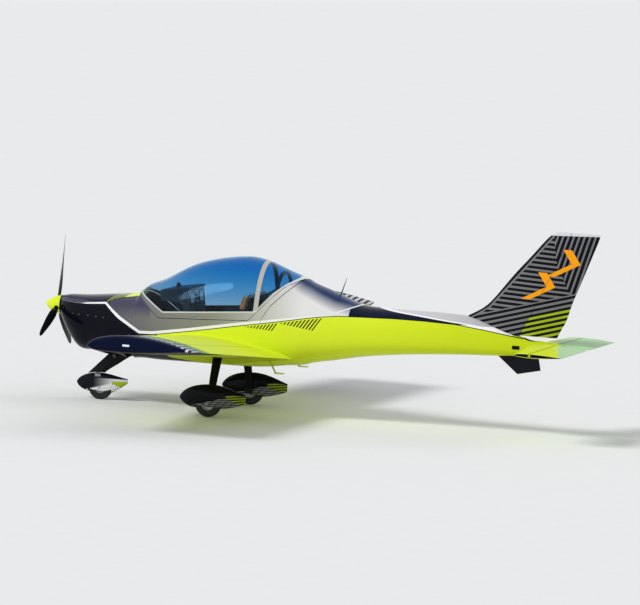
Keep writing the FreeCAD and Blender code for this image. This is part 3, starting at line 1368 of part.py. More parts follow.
nodes = {
    "cowl_upper": cowl_upper,
    "cowl_lower": cowl_lower,
    "engine": engine,
    "engine_mount": engine_mount,
    "exhaust_stubs": exhaust_stubs,
    "cabin_shell": cabin_shell.fuse(canopy_hinge_bracket),
    "tail_boom": tail_boom,
    "rear_bulkhead": rear_bulkhead,
    "baggage_shelf": baggage_shelf,
    "cabin_floor": cabin_floor,
    "seat_base": seat_base,
    "seats": seats,
    "centre_console": centre_console,
    "instrument_panel": instrument_panel,
    "control_sticks": control_sticks,
    "console_levers": console_levers,
    "rudder_pedals": rudder_pedals,
    "roll_bar": roll_bar,
    "canopy_frame": canopy_frame,
    "canopy_glass": canopy_glass,
    "canopy_rear_glass": canopy_rear_glass,
    "canopy_latches": canopy_latches,
    "wing_right": wing_right,
    "wing_left": wing_left,
    "flap_right": flap_right,
    "flap_left": mirrored(flap_right),
    "aileron_right": aileron_right,
    "aileron_left": mirrored(aileron_right),
    "nav_lights": Part.makeCompound([nav_light, mirrored(nav_light)]),
    "tailplane": tailplane,
    "elevator": elevator,
    "fin": fin,
    "rudder": rudder,
    "ventral_fin": ventral_fin,
    "main_legs": Part.makeCompound([main_leg, mirrored(main_leg)]),
    "main_axles": Part.makeCompound([main_axle_stub, mirrored(main_axle_stub)]),
    "brake_calipers": Part.makeCompound([brake_caliper, mirrored(brake_caliper)]),
    "main_spat_right": main_spat,
    "main_spat_left": mirrored(main_spat),
    "main_tyre_right": main_tyre,
    "main_tyre_left": mirrored(main_tyre),
    "main_rim_right": main_rim,
    "main_rim_left": mirrored(main_rim),
    "brake_disc_right": brake_disc,
    "brake_disc_left": mirrored(brake_disc),
    "nose_leg": nose_leg,
    "nose_fork": nose_fork,
    "nose_spat": nose_spat,
    "nose_tyre": nose_tyre,
    "nose_rim": nose_rim,
    "propeller": propeller,
    "spinner": spinner,
    "spinner_backplate": backplate,
    "boarding_steps": Part.makeCompound([boarding_step, boarding_step_left]),
    "antenna": antenna,
}

# The origin lies on the ground below the middle of the overall length.
rudder_aft = rudder.BoundBox.XMax
middle_station = (spinner_tip + rudder_aft) / 2
for name, shape in nodes.items():
    piece = shape.copy()
    piece.translate(Vector(-middle_station, 0, 0))
    piece.exportStep("parts/" + name + ".step")
    print(name, len(piece.Solids), piece.isValid(), round(piece.Volume / 1e6, 3))
print("middle station", middle_station)
for label, point in (("canopy hinge", (canopy_hinge_station, 0, canopy_hinge_height)),
                     ("flap in", wing_hinge(flap_inner_half_span)[0]),
                     ("flap out", wing_hinge(flap_outer_half_span)[0]),
                     ("aileron out", wing_hinge(aileron_outer_half_span)[0]),
                     ("elevator hinge", (elevator_station, 0, tailplane_height)),
                     ("rudder low", rudder_low), ("rudder high", rudder_high),
                     ("kingpin", (kingpin_station, 0, nose_axle.z)),
                     ("thrust", thrust_axis)):
    x, y, z = point
    print(label, round(x - middle_station, 3), round(y, 3), round(z, 3))
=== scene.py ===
import math

import bmesh
import bpy
from mathutils import Matrix, Vector


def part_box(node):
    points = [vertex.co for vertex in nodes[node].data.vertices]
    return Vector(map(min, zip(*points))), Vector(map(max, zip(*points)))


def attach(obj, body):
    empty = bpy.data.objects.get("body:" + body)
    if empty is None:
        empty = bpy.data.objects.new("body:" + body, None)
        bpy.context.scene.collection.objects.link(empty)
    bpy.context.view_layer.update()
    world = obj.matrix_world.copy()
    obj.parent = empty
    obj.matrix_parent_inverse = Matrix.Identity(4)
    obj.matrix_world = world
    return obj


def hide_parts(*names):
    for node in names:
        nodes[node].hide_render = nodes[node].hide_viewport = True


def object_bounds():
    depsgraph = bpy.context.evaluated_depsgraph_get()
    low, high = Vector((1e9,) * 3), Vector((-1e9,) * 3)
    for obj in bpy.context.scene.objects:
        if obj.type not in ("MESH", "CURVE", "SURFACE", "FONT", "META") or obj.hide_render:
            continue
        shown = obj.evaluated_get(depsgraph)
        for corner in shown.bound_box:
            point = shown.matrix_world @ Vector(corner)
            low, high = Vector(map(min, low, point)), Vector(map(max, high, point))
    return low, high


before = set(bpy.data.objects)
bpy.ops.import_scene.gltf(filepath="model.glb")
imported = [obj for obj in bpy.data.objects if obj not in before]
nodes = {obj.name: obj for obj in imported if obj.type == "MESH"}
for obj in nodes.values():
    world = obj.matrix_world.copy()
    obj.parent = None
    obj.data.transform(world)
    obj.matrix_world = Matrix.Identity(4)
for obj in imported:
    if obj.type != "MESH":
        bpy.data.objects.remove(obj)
cadLow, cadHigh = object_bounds()
print("frame loaded with", len(nodes), "nodes")


# Camera at the photograph's angle: port side, a little aft of the beam
shot = {
    "aftAngle": 14.5,
    "height": 5.2,
    "lean": 3.7,
    "lookAt": (-0.203, 0.774, 1.349),
    "fieldWidth": 7.846,
    "lens": 1200.0,
    "sensor": 36.0,
    "clip": (10.0, 1500.0),
}


def aimCamera():
    turn, rise, lean = (math.radians(shot[key]) for key in ("aftAngle", "height", "lean"))
    flatRight = Vector((math.cos(turn), math.sin(turn), 0))
    back = Vector((math.sin(turn) * math.cos(rise), -math.cos(turn) * math.cos(rise), math.sin(rise)))
    levelUp = back.cross(flatRight)
    right = flatRight * math.cos(lean) + levelUp * math.sin(lean)
    up = levelUp * math.cos(lean) - flatRight * math.sin(lean)
    distance = shot["fieldWidth"] * shot["lens"] / shot["sensor"]
    data = bpy.data.cameras.new("photoCamera")
    data.lens = shot["lens"]
    data.sensor_width = shot["sensor"]
    data.clip_start, data.clip_end = shot["clip"]
    camera = bpy.data.objects.new("photoCamera", data)
    bpy.context.scene.collection.objects.link(camera)
    camera.matrix_world = Matrix((right, up, back)).transposed().to_4x4()
    camera.location = Vector(shot["lookAt"]) + back * distance
    bpy.context.scene.camera = camera


aimCamera()
print("camera placed")


# Small helpers for modelling by operator
def deselectAll():
    if bpy.context.object and bpy.context.object.mode != "OBJECT":
        bpy.ops.object.mode_set(mode="OBJECT")
    bpy.ops.object.select_all(action="DESELECT")


def makeActive(piece):
    deselectAll()
    piece.select_set(True)
    bpy.context.view_layer.objects.active = piece


def applyPlace(piece):
    makeActive(piece)
    bpy.ops.object.transform_apply(location=True, rotation=True, scale=True)


def addModifier(piece, kind, **settings):
    modifier = piece.modifiers.new(kind.title(), kind)
    for key, value in settings.items():
        setattr(modifier, key, value)
    makeActive(piece)
    bpy.ops.object.modifier_apply(modifier=modifier.name)


def fixNormals(piece, merge=0.00002):
    makeActive(piece)
    bpy.ops.object.mode_set(mode="EDIT")
    bpy.ops.mesh.select_all(action="SELECT")
    bpy.ops.mesh.remove_doubles(threshold=merge)
    bpy.ops.mesh.normals_make_consistent(inside=False)
    bpy.ops.object.mode_set(mode="OBJECT")


def pickFaces(piece, test):
    # Opens the piece for editing with only the faces that pass the test selected.
    makeActive(piece)
    bpy.ops.object.mode_set(mode="EDIT")
    bpy.ops.mesh.select_mode(type="FACE")
    bpy.ops.mesh.select_all(action="DESELECT")
    mesh = bmesh.from_edit_mesh(piece.data)
    mesh.faces.ensure_lookup_table()
    for face in mesh.faces:
        face.select_set(test(face.normal, face.calc_center_median()))
    bmesh.update_edit_mesh(piece.data)


def addBox(name, low, high):
    deselectAll()
    low, high = Vector(low), Vector(high)
    bpy.ops.mesh.primitive_cube_add(size=1, location=(low + high) / 2)
    piece = bpy.context.object
    piece.name = name
    piece.scale = high - low
    applyPlace(piece)
    return piece


def joinPieces(pieces, name):
    makeActive(pieces[0])
    for piece in pieces[1:]:
        piece.select_set(True)
    if len(pieces) > 1:
        bpy.ops.object.join()
    pieces[0].name = name
    return pieces[0]


def dress(piece, material, body="airframe", smooth=35):
    # Last step for a piece: shading, finish and the body that carries it.
    applyPlace(piece)
    if material is not None:
        piece.data.materials.clear()
        piece.data.materials.append(material)
    bpy.ops.object.shade_smooth_by_angle(angle=math.radians(smooth))
    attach(piece, body)
    return piece


sides = ((-1, "Left"), (1, "Right"))


def surfaceHit(node, start, direction):
    # First point and outward normal where a line meets a CAD node's surface.
    found, place, normal = nodes[node].ray_cast(Vector(start), Vector(direction).normalized())[:3]
    if not found:
        return None
    return place, normal if normal.dot(Vector(direction)) < 0 else -normal


# Small helpers for building materials
def tone(red, green, blue):
    # A colour as read off a screen, 0 to 255, made linear.
    shares = (value / 255 for value in (red, green, blue))
    linear = [s / 12.92 if s <= 0.04045 else ((s + 0.055) / 1.055) ** 2.4 for s in shares]
    return (*linear, 1.0)


# The node tree that is being built
bench = {}


def addNode(kind):
    return bench["tree"].nodes.new("ShaderNode" + kind)


def feed(socket, value):
    if isinstance(value, bpy.types.NodeSocket):
        bench["tree"].links.new(value, socket)
    else:
        socket.default_value = value


def calc(operation, first, second=0.0, clamp=False):
    step = addNode("Math")
    step.operation = operation
    step.use_clamp = clamp
    feed(step.inputs[0], first)
    feed(step.inputs[1], second)
    return step.outputs[0]


def plus(first, second, clamp=False):
    return calc("ADD", first, second, clamp)


def minus(first, second):
    return calc("SUBTRACT", first, second)


def times(first, second, clamp=False):
    return calc("MULTIPLY", first, second, clamp)


def above(value, limit):
    return calc("GREATER_THAN", value, limit)


def below(value, limit):
    return calc("LESS_THAN", value, limit)


def both(*masks):
    result = masks[0]
    for mask in masks[1:]:
        result = times(result, mask)
    return result


def either(first, second):
    return calc("MAXIMUM", first, second)


def between(value, low, high):
    return both(above(value, low), below(value, high))


def spread(value, low, high, outLow=0.0, outHigh=1.0):
    step = addNode("MapRange")
    feed(step.inputs["Value"], value)
    for key, limit in (("From Min", low), ("From Max", high), ("To Min", outLow), ("To Max", outHigh)):
        feed(step.inputs[key], limit)
    return step.outputs["Result"]


def paint(under, over, mask):
    # Lays one colour over another by the mask, each a socket, a tone or the name of an ink.
    under, over = (inks[colour] if isinstance(colour, str) else colour for colour in (under, over))
    step = addNode("Mix")
    step.data_type = "RGBA"
    feed(step.inputs[0], mask)
    feed(step.inputs[6], under)
    feed(step.inputs[7], over)
    return step.outputs[2]


def line(value, points):
    # Height along a broken line through the points, as a function of the value.
    xs = [point[0] for point in points]
    zs = [point[1] for point in points]
    lowX, highX, lowZ, highZ = min(xs), max(xs), min(zs), max(zs)
    step = addNode("FloatCurve")
    feed(step.inputs["Value"], spread(value, lowX, highX))
    curve = step.mapping.curves[0]
    for index, (x, z) in enumerate(points):
        place = ((x - lowX) / (highX - lowX), (z - lowZ) / (highZ - lowZ))
        if index == 0:
            knot = curve.points[0]
            knot.location = place
        elif index == len(points) - 1:
            knot = curve.points[-1]
            knot.location = place
        else:
            knot = curve.points.new(*place)
        knot.handle_type = "VECTOR"
    step.mapping.update()
    return spread(step.outputs["Value"], 0, 1, lowZ, highZ)


def stripes(value, pitch, share):
    # 1 on the stripes, for a value that runs across them in metres.
    turns = calc("DIVIDE", value, pitch)
    return below(calc("FRACT", turns), share)


def axes(place):
    split = addNode("SeparateXYZ")
    feed(split.inputs[0], place)
    return split.outputs["X"], split.outputs["Y"], split.outputs["Z"]


def facing():
    # Which way the surface looks, as x, y and z.
    return axes(addNode("TexCoord").outputs["Normal"])


def noise(vector, scale, detail=3.0, roughness=0.5):
    step = addNode("TexNoise")
    feed(step.inputs["Vector"], vector)
    feed(step.inputs["Scale"], scale)
    feed(step.inputs["Detail"], detail)
    feed(step.inputs["Roughness"], roughness)
    return step.outputs["Fac"]


def ramp(value, stops):
    # A colour that runs through the stops, each a place along the value and an ink.
    low, high = stops[0][0], stops[-1][0]
    step = addNode("ValToRGB")
    feed(step.inputs["Fac"], spread(value, low, high))
    marks = step.color_ramp.elements
    marks[0].color, marks[1].color = stops[0][1], stops[-1][1]
    for place, ink in stops[1:-1]:
        marks.new((place - low) / (high - low)).color = ink
    return step.outputs["Color"]


def newGroup(name, inputs, outputs):
    tree = bench["tree"] = bpy.data.node_groups.new(name, "ShaderNodeTree")
    for label, kind, value in inputs:
        socket = tree.interface.new_socket(name=label, in_out="INPUT", socket_type=kind)
        if value is not None:
            socket.default_value = value
    for label in outputs:
        tree.interface.new_socket(name=label, in_out="OUTPUT", socket_type="NodeSocketFloat")
    return tree, tree.nodes.new("NodeGroupInput").outputs, tree.nodes.new("NodeGroupOutput").inputs


def gelcoatGroup():
    # Sprayed gloss: a faint orange peel, uneven polish and thin dust that gathers low down.
    tree, given, out = newGroup(
        "gelcoatFinish",
        [("Vector", "NodeSocketVector", None), ("Polish", "NodeSocketFloat", 0.2),
         ("Dust", "NodeSocketFloat", 0.1)],
        ["Roughness", "Dust", "Height"])
    cloudy = noise(given["Vector"], 2.3, 4.0)
    fine = noise(given["Vector"], 60.0, 2.0)
    peel = noise(given["Vector"], 420.0, 1.0)
    low = spread(axes(given["Vector"])[2], 0.0, 0.9, 1.0, 0.15)
    dusty = times(both(low, cloudy, fine), given["Dust"])
    feed(out["Dust"], times(dusty, 3.0, clamp=True))
    polish = plus(given["Polish"], spread(cloudy, 0.3, 0.7, -0.03, 0.05))
    feed(out["Roughness"], plus(polish, times(dusty, 1.2), clamp=True))
    feed(out["Height"], peel)
    return tree


def grainGroup():
    # Moulded or tanned grain: small cells with soft borders and a slow change of tone.
    tree, given, out = newGroup(
        "fineGrain",
        [("Vector", "NodeSocketVector", None), ("Cells", "NodeSocketFloat", 400.0),
         ("Wear", "NodeSocketFloat", 0.3)],
        ["Height", "Tone", "Roughness"])
    cells = addNode("TexVoronoi")
    cells.feature = "DISTANCE_TO_EDGE"
    feed(cells.inputs["Vector"], given["Vector"])
    feed(cells.inputs["Scale"], given["Cells"])
    border = spread(cells.outputs["Distance"], 0.0, 0.12)
    slow = noise(given["Vector"], 9.0, 5.0, 0.6)
    feed(out["Height"], border)
    worn = times(spread(slow, 0.35, 0.7), given["Wear"])
    feed(out["Tone"], plus(worn, times(border, 0.12), clamp=True))
    feed(out["Roughness"], spread(slow, 0.3, 0.7, 0.1, -0.1))
    return tree


def weaveGroup():
    # Plain weave of warp and weft over the surface, with uneven threads.
    tree, given, out = newGroup(
        "plainWeave",
        [("Vector", "NodeSocketVector", None), ("Threads", "NodeSocketFloat", 900.0)],
        ["Height", "Tone"])
    scaled = addNode("VectorMath")
    scaled.operation = "SCALE"
    feed(scaled.inputs[0], given["Vector"])
    feed(scaled.inputs["Scale"], given["Threads"])
    x, y, z = axes(scaled.outputs[0])
    thread = times(calc("SINE", plus(x, z)), calc("SINE", y))
    feed(out["Height"], spread(thread, -1.0, 1.0))
    fuzz = noise(given["Vector"], 150.0, 3.0)
    feed(out["Tone"], both(spread(thread, -1.0, 1.0, 0.6, 1.0), spread(fuzz, 0.2, 0.8, 0.7, 1.0)))
    return tree


def metalGroup():
    # Turned or brushed metal: long fine scratches and a few dull patches.
    tree, given, out = newGroup(
        "workedMetal",
        [("Vector", "NodeSocketVector", None), ("Across", "NodeSocketFloat", 900.0),
         ("Polish", "NodeSocketFloat", 0.25)],
        ["Roughness", "Tone", "Height"])
    stretch = addNode("Mapping")
    feed(stretch.inputs["Scale"], (0.06, 1.0, 1.0))
    feed(stretch.inputs["Vector"], given["Vector"])
    scratch = noise(stretch.outputs[0], given["Across"], 2.0)
    dull = noise(given["Vector"], 14.0, 4.0, 0.6)
    feed(out["Height"], scratch)
    feed(out["Tone"], spread(dull, 0.35, 0.75, 1.0, 0.72))
    patchy = spread(dull, 0.35, 0.75, 0.0, 0.18)
    feed(out["Roughness"],
         plus(given["Polish"], plus(patchy, spread(scratch, 0.3, 0.7, -0.05, 0.08)), clamp=True))
    return tree


groups = {"gelcoat": gelcoatGroup(), "grain": grainGroup(), "weave": weaveGroup(), "metal": metalGroup()}


def placeGroup(which, vector, **values):
    step = addNode("Group")
    step.node_tree = groups[which]
    feed(step.inputs["Vector"], vector)
    for key, value in values.items():
        feed(step.inputs[key], value)
    return step.outputs


def newMaterial(name):
    material = bpy.data.materials.new(name)
    material.use_nodes = True
    bench["tree"] = material.node_tree
    shader = bench["tree"].nodes["Principled BSDF"]
    return material, shader, addNode("TexCoord").outputs["Object"]


def bump(shader, height, strength, distance):
    step = addNode("Bump")
    feed(step.inputs["Strength"], strength)
    feed(step.inputs["Distance"], distance)
    feed(step.inputs["Height"], height)
    feed(shader.inputs["Normal"], step.outputs["Normal"])


def gloss(shader, place, colour, metallic=0.0, polish=0.16, dust=0.025, coat=0.03, shine=0.08):
    # Clear-coated paint over the given colour, with dust laid on it.
    finish = placeGroup("gelcoat", place, Polish=polish, Dust=dust)
    feed(shader.inputs["Base Color"], paint(colour, "dust", finish["Dust"]))
    feed(shader.inputs["Metallic"], metallic)
    feed(shader.inputs["Roughness"], finish["Roughness"])
    feed(shader.inputs["Specular IOR Level"], shine)
    feed(shader.inputs["Coat Weight"], coat)
    feed(shader.inputs["Coat Roughness"], 0.04)
    bump(shader, finish["Height"], 0.04, 0.0004)


inks = {
    "lime": tone(216, 234, 44),
    "limeDeep": tone(160, 178, 30),
    # Darker lime standing for lime in shade, used on the tail and the wing's underside
    "limeShaded": tone(186, 202, 12),
    # Pale mint standing for the sky's reflection on the lime tail
    "mintSkyReflection": tone(168, 208, 158),
    "teal": tone(60, 150, 128),
    "navy": tone(8, 16, 42),
    "blue": tone(20, 48, 92),
    "black": tone(7, 8, 20),
    "paleSilver": tone(206, 207, 212),
    "spineGrey": tone(196, 195, 202),
    "white": tone(240, 240, 240),
    "orange": tone(250, 160, 12),
    "finGrey": tone(116, 116, 118),
    "liner": tone(44, 45, 49),
    "dust": tone(132, 126, 114),
}

# The metallic ground brightens from the cowl to the rear window: a painted reflection gradient, dark at the
# cowl and light at the rear window
silverReflectionStops = [(-3.3, tone(84, 84, 94)), (-2.5, tone(90, 89, 97)), (-1.9, tone(120, 120, 116)),
               (-1.2, tone(139, 139, 130)), (-0.8, tone(166, 166, 160)), (-0.4, tone(204, 202, 200)),
               (-0.1, tone(226, 224, 224))]

# Edges of the painted fields, station and height in metres, aft from the nose; the fin's by height
edges = {
    "limeTop": [(-3.30, 1.183), (-2.87, 1.185), (-2.618, 1.208), (-2.416, 1.054), (-2.130, 0.896),
                (-1.944, 0.904), (-1.473, 0.988), (-0.846, 1.109), (-0.438, 1.183), (-0.040, 1.261),
                (0.118, 1.288), (0.333, 1.312), (0.997, 1.329), (1.389, 1.329), (1.762, 1.317),
                (2.118, 1.276), (2.536, 1.214), (3.10, 1.172)],
    "stripeTop": [(-3.30, 1.183), (-2.93, 1.186), (-2.873, 1.200), (-2.615, 1.230), (-2.399, 1.086),
                  (-2.120, 0.930), (-1.946, 0.941), (-1.476, 1.024), (-0.849, 1.146), (-0.440, 1.213),
                  (-0.042, 1.280), (0.157, 1.300), (0.34, 1.313), (3.10, 1.313)],
    "navyFront": [(-3.30, 1.228), (-2.958, 1.226), (-2.721, 1.214), (-2.587, 1.217), (-2.539, 1.253),
                  (-2.423, 1.285), (-2.294, 1.307), (-2.20, 1.33), (-2.15, 1.60), (-1.90, 2.2),
                  (3.10, 2.2)],
    "navyRear": [(-3.30, 2.2), (-1.0, 2.2), (-0.42, 1.78), (-0.174, 1.60), (0.038, 1.505), (0.255, 1.42),
                 (0.457, 1.375), (0.70, 1.30), (3.10, 1.10)],
    "spineLow": [(-3.30, 2.2), (0.66, 2.2), (0.70, 1.45), (0.738, 1.436), (0.981, 1.404), (1.271, 1.378),
                 (1.696, 1.338), (1.80, 1.331), (2.115, 1.296), (2.534, 1.228), (3.10, 1.186)],
    "finNose": [(1.20, 1.2), (1.40, 1.88), (1.465, 1.980), (1.555, 2.113), (1.816, 2.323),
                (2.186, 2.620), (2.474, 2.849), (2.55, 2.90)],
    "glassLow": [(-2.30, 1.44), (-2.192, 1.402), (-1.843, 1.191), (-0.698, 1.291), (-0.60, 1.30)],
    "rearSeam": [(-0.62, 1.10), (-0.585, 1.216), (-0.499, 1.365), (-0.347, 1.535), (-0.205, 1.674),
                 (-0.12, 1.74)],
}

# Marks on the fuselage: bounds in metres, slopes, and the pitch and share of stripes
fuselageLook = {
    "shine": 0.3,
    "spray": (-0.07, 0.07),
    "cowlShade": {"end": -2.0, "rise": (1.08, 1.24), "tone": tone(68, 66, 88)},
    "flash": {"end": -2.2, "lift": 0.012, "slope": 0.4, "bars": (-2.50, -2.32), "stripes": (0.034, 0.42)},
    "spine": {"start": 0.45, "end": 2.5, "line": (-0.004, 0.011), "slope": 0.398, "foot": 1.228,
              "edge": (-0.006, 0.007), "edgeRun": (0.31, 0.66)},
    "nose": {"slope": 1.3, "end": -0.72, "fringe": (-0.72, -0.50), "fringeTop": 0.03,
             "stripes": (0.044, 0.4)},
    "stripe": {"end": 2.46, "shadow": (0.0, 0.010), "shadowRun": (-2.2, 2.6)},
    "bars": {"slope": 0.7, "top": 0.022, "short": 0.012, "share": 0.45,
             "runs": ((-0.84, -0.36, 0.110, 0.043), (-0.40, 0.16, 0.165, 0.047))},
    "seam": {"half": 0.006, "run": (-0.60, -0.13)},
    "tailPatch": ((2.523, 0.047), (1.091, 0.024)),
}


def fuselageColour(place):
    x, y, z = axes(place)
    limeTop, navyFront = line(x, edges["limeTop"]), line(x, edges["navyFront"])
    under = minus(limeTop, z)  # metres below the top edge of the lime
    # Metallic ground with its painted reflection gradient along the fuselage
    colour = ramp(x, silverReflectionStops)
    # Lime darkening towards the tail is painted shade
    lime = ramp(x, [(-3.3, inks["lime"]), (0.2, inks["lime"]), (3.0, inks["limeShaded"])])
    grey = ramp(x, [(0.7, tone(211, 210, 215)), (2.9, tone(156, 155, 158))])
    # Navy spine with a sprayed edge behind the cabin, hard-edged on the cowl
    rear = minus(z, line(x, edges["navyRear"]))
    colour = paint(colour, "blue", spread(rear, *fuselageLook["spray"]))
    look = fuselageLook["cowlShade"]
    colour = paint(colour, look["tone"], both(below(x, look["end"]), spread(z, *look["rise"])))
    colour = paint(colour, "navy", above(z, navyFront))
    # Lime flash on the cowl's top with bars at its front
    look = fuselageLook["flash"]
    along = plus(x, times(calc("ABSOLUTE", y), look["slope"]))
    onTop = both(above(z, plus(navyFront, look["lift"])), below(x, look["end"]))
    colour = paint(colour, "lime", both(onTop, above(along, look["bars"][1])))
    bars = both(onTop, between(along, *look["bars"]), stripes(along, *look["stripes"]))
    colour = paint(colour, "limeDeep", bars)
    # Light grey spine with white and black lines along its lower edge
    look = fuselageLook["spine"]
    spine = minus(z, line(x, edges["spineLow"]))
    rising = minus(z, plus(times(x, look["slope"]), look["foot"]))
    colour = paint(colour, "navy", both(above(x, look["start"]), below(rising, 0.0)))
    colour = paint(colour, grey, both(above(spine, 0.0), below(x, look["end"])))
    colour = paint(colour, "white", between(spine, *look["line"]))
    colour = paint(colour, "white", both(between(rising, *look["edge"]), between(x, *look["edgeRun"])))
    # Everything below the lime's top edge: dark nose, lime body, bars between them
    look, limeEnd = fuselageLook["nose"], fuselageLook["stripe"]["end"]
    colour = paint(colour, lime, either(above(under, 0.0), above(x, limeEnd)))
    slant = plus(x, times(z, look["slope"]))
    colour = paint(colour, "black", both(above(under, 0.0), below(slant, look["end"])))
    fringe = both(above(under, look["fringeTop"]), between(slant, *look["fringe"]),
                  stripes(slant, *look["stripes"]))
    colour = paint(colour, "black", fringe)
    look = fuselageLook["stripe"]
    colour = paint(colour, "black", both(between(under, *look["shadow"]), between(x, *look["shadowRun"])))
    patch = [calc("ABSOLUTE", calc("DIVIDE", minus(value, middle), half))
             for value, (middle, half) in zip((x, z), fuselageLook["tailPatch"])]
    colour = paint(colour, "black", below(either(*patch), 1.0))
    # White stripe, and two runs of leaning bars that hang from it
    stripe = both(below(under, 0.0), below(z, line(x, edges["stripeTop"])))
    colour = paint(colour, "white", both(stripe, below(x, limeEnd)))
    look = fuselageLook["bars"]
    lean = plus(x, times(under, look["slope"]))
    for start, end, depth, pitch in look["runs"]:
        reach = spread(lean, start, end, look["short"], depth)
        inside = both(above(under, look["top"]), below(under, reach), between(lean, start, end))
        colour = paint(colour, "black", both(inside, stripes(lean, pitch, look["share"])))
    # Panel seam behind the rear glass
    look = fuselageLook["seam"]
    seam = calc("ABSOLUTE", minus(z, line(x, edges["rearSeam"])))
    colour = paint(colour, "black", both(below(seam, look["half"]), between(x, *look["run"])))
    upper = both(below(under, 0.0), below(rear, 0.0), below(z, navyFront))
    return colour, times(upper, fuselageLook["shine"])


cabinMiddle = 1.05


def insideMask(place):
    # 1 on faces that look in at the cabin's or the cowl's own middle line.
    y, z = axes(place)[1:]
    normalY, normalZ = facing()[1:]
    outward = plus(times(y, normalY), times(minus(z, cabinMiddle), normalZ))
    return below(outward, -0.02)


def fuselagePaint():
    material, shader, place = newMaterial("fuselagePaint")
    colour, shine = fuselageColour(place)
    inside = insideMask(place)
    colour = paint(colour, "liner", inside)
    gloss(shader, place, colour, both(shine, minus(1.0, inside)))
    return material


def framePaint():
    material, shader, place = newMaterial("framePaint")
    x, _, z = axes(place)
    # Metallic ground with the same painted reflection gradient as the fuselage
    colour = ramp(x, silverReflectionStops)
    # A pale edge runs along under the glass
    rim = minus(z, line(x, edges["glassLow"]))
    colour = paint(colour, tone(206, 206, 204), between(rim, -0.015, 0.010))
    inside = insideMask(place)
    gloss(shader, place, paint(colour, "liner", inside), times(minus(1.0, inside), fuselageLook["shine"]))
    return material


# Bounds outward of a line that leans across the outer panel
wingTip = {
    "slope": 0.5,
    "reach": 4.625,
    "deep": -0.75,
    "bands": -0.62,
    "bandStripes": (0.2, 0.7),
    "dark": -0.42,
    "hatch": (-0.40, -0.06),
    "hatchStripes": (0.075, 0.5),
    "hatchFront": -1.22,
    "darkBelow": 2.95,
}


def wingPaint():
    # Lime with a dark tip, hatching and green bands that lean across the outer panel, and a darker underside
    # that is painted shade.
    material, shader, place = newMaterial("wingPaint")
    x, y = axes(place)[:2]
    outward = calc("ABSOLUTE", y)
    tip = minus(outward, plus(times(x, wingTip["slope"]), wingTip["reach"]))
    colour = paint("lime", "limeDeep", above(tip, wingTip["deep"]))
    colour = paint(colour, "teal", both(above(tip, wingTip["bands"]), stripes(tip, *wingTip["bandStripes"])))
    colour = paint(colour, "navy", above(tip, wingTip["dark"]))
    bars = both(between(tip, *wingTip["hatch"]), stripes(x, *wingTip["hatchStripes"]))
    colour = paint(colour, "spineGrey", both(bars, above(x, wingTip["hatchFront"])))
    # Underside painted darker as shade: black outboard, the tip's dark paint deepened by painted shade, and
    # shaded lime inboard
    under = paint("limeShaded", "black", above(outward, wingTip["darkBelow"]))
    colour = paint(colour, under, below(facing()[2], -0.25))
    gloss(shader, place, colour, polish=0.38, coat=0.0, shine=0.04)
    return material


def tailPaint(name):
    # Lime forward of a line that leans across both halves and pale mint behind it, the mint a painted
    # reflection of the pale sky on the lime; dark tips.
    material, shader, place = newMaterial(name)
    x, y = axes(place)[:2]
    lean = plus(x, times(y, 0.259))
    # Pale mint aft of the leaning line is painted sky reflection
    colour = paint("lime", "mintSkyReflection", spread(lean, 3.0, 3.03))
    colour = paint(colour, "black", above(calc("ABSOLUTE", y), 1.345))
    gloss(shader, place, colour, polish=0.38, coat=0.0, shine=0.04)
    return material


# Slopes, bounds in metres, and the pitch and share of each set of bands
finLook = {
    "swept": 0.285,
    "sweptBands": (0.066, 0.62),
    "level": 0.034,
    "levelBands": (0.060, 0.55),
    "rearLine": [(1.60, 3.235), (2.138, 2.954), (2.465, 2.894), (2.60, 2.87)],
    "rising": 0.287,
    "risingBands": (0.064, 0.52),
    "risingTop": 0.882,
    "green": {"top": 0.73, "slope": 0.456, "start": 1.974},
    "bandsFoot": 1.2,
    "greyEdge": 0.045,
    "blackEdge": 0.016,
    "cap": {"slope": 0.048, "start": 2.352},
    "metallic": 0.15,
    "chevrons": {"places": ((1.86, 1.76), (2.16, 1.88)), "lean": 0.58, "fold": 1.25, "reach": 0.17,
                 "width": 0.11},
}


def finPaint():
    # Silver and black bands in three directions, with plain orange chevrons over them.
    material, shader, place = newMaterial("finPaint")
    x, _, z = axes(place)
    swept = stripes(minus(x, times(z, finLook["swept"])), *finLook["sweptBands"])
    level = stripes(plus(z, times(x, finLook["level"])), *finLook["levelBands"])
    rise = minus(z, times(x, finLook["rising"]))
    bands = paint(level, swept, above(x, line(z, finLook["rearLine"])))
    bands = paint(bands, stripes(rise, *finLook["risingBands"]), below(rise, finLook["risingTop"]))
    look = finLook["green"]
    behind = above(x, plus(times(z, look["slope"]), look["start"]))
    colour = paint("finGrey", "limeDeep", both(below(rise, look["top"]), behind))
    colour = paint(colour, "black", both(bands, above(z, finLook["bandsFoot"])))
    edge = minus(x, line(z, edges["finNose"]))
    colour = paint(colour, "finGrey", below(edge, finLook["greyEdge"]))
    colour = paint(colour, "black", below(edge, finLook["blackEdge"]))
    look = finLook["chevrons"]
    for middle, start in look["places"]:
        off = calc("ABSOLUTE", minus(z, middle))
        arm = plus(minus(x, times(z, look["lean"])), times(off, look["fold"]))
        mark = both(below(off, look["reach"]), between(arm, start, start + look["width"]))
        colour = paint(colour, "orange", mark)
    look = finLook["cap"]
    colour = paint(colour, "paleSilver", above(minus(z, times(x, look["slope"])), look["start"]))
    gloss(shader, place, colour, finLook["metallic"])
    return material


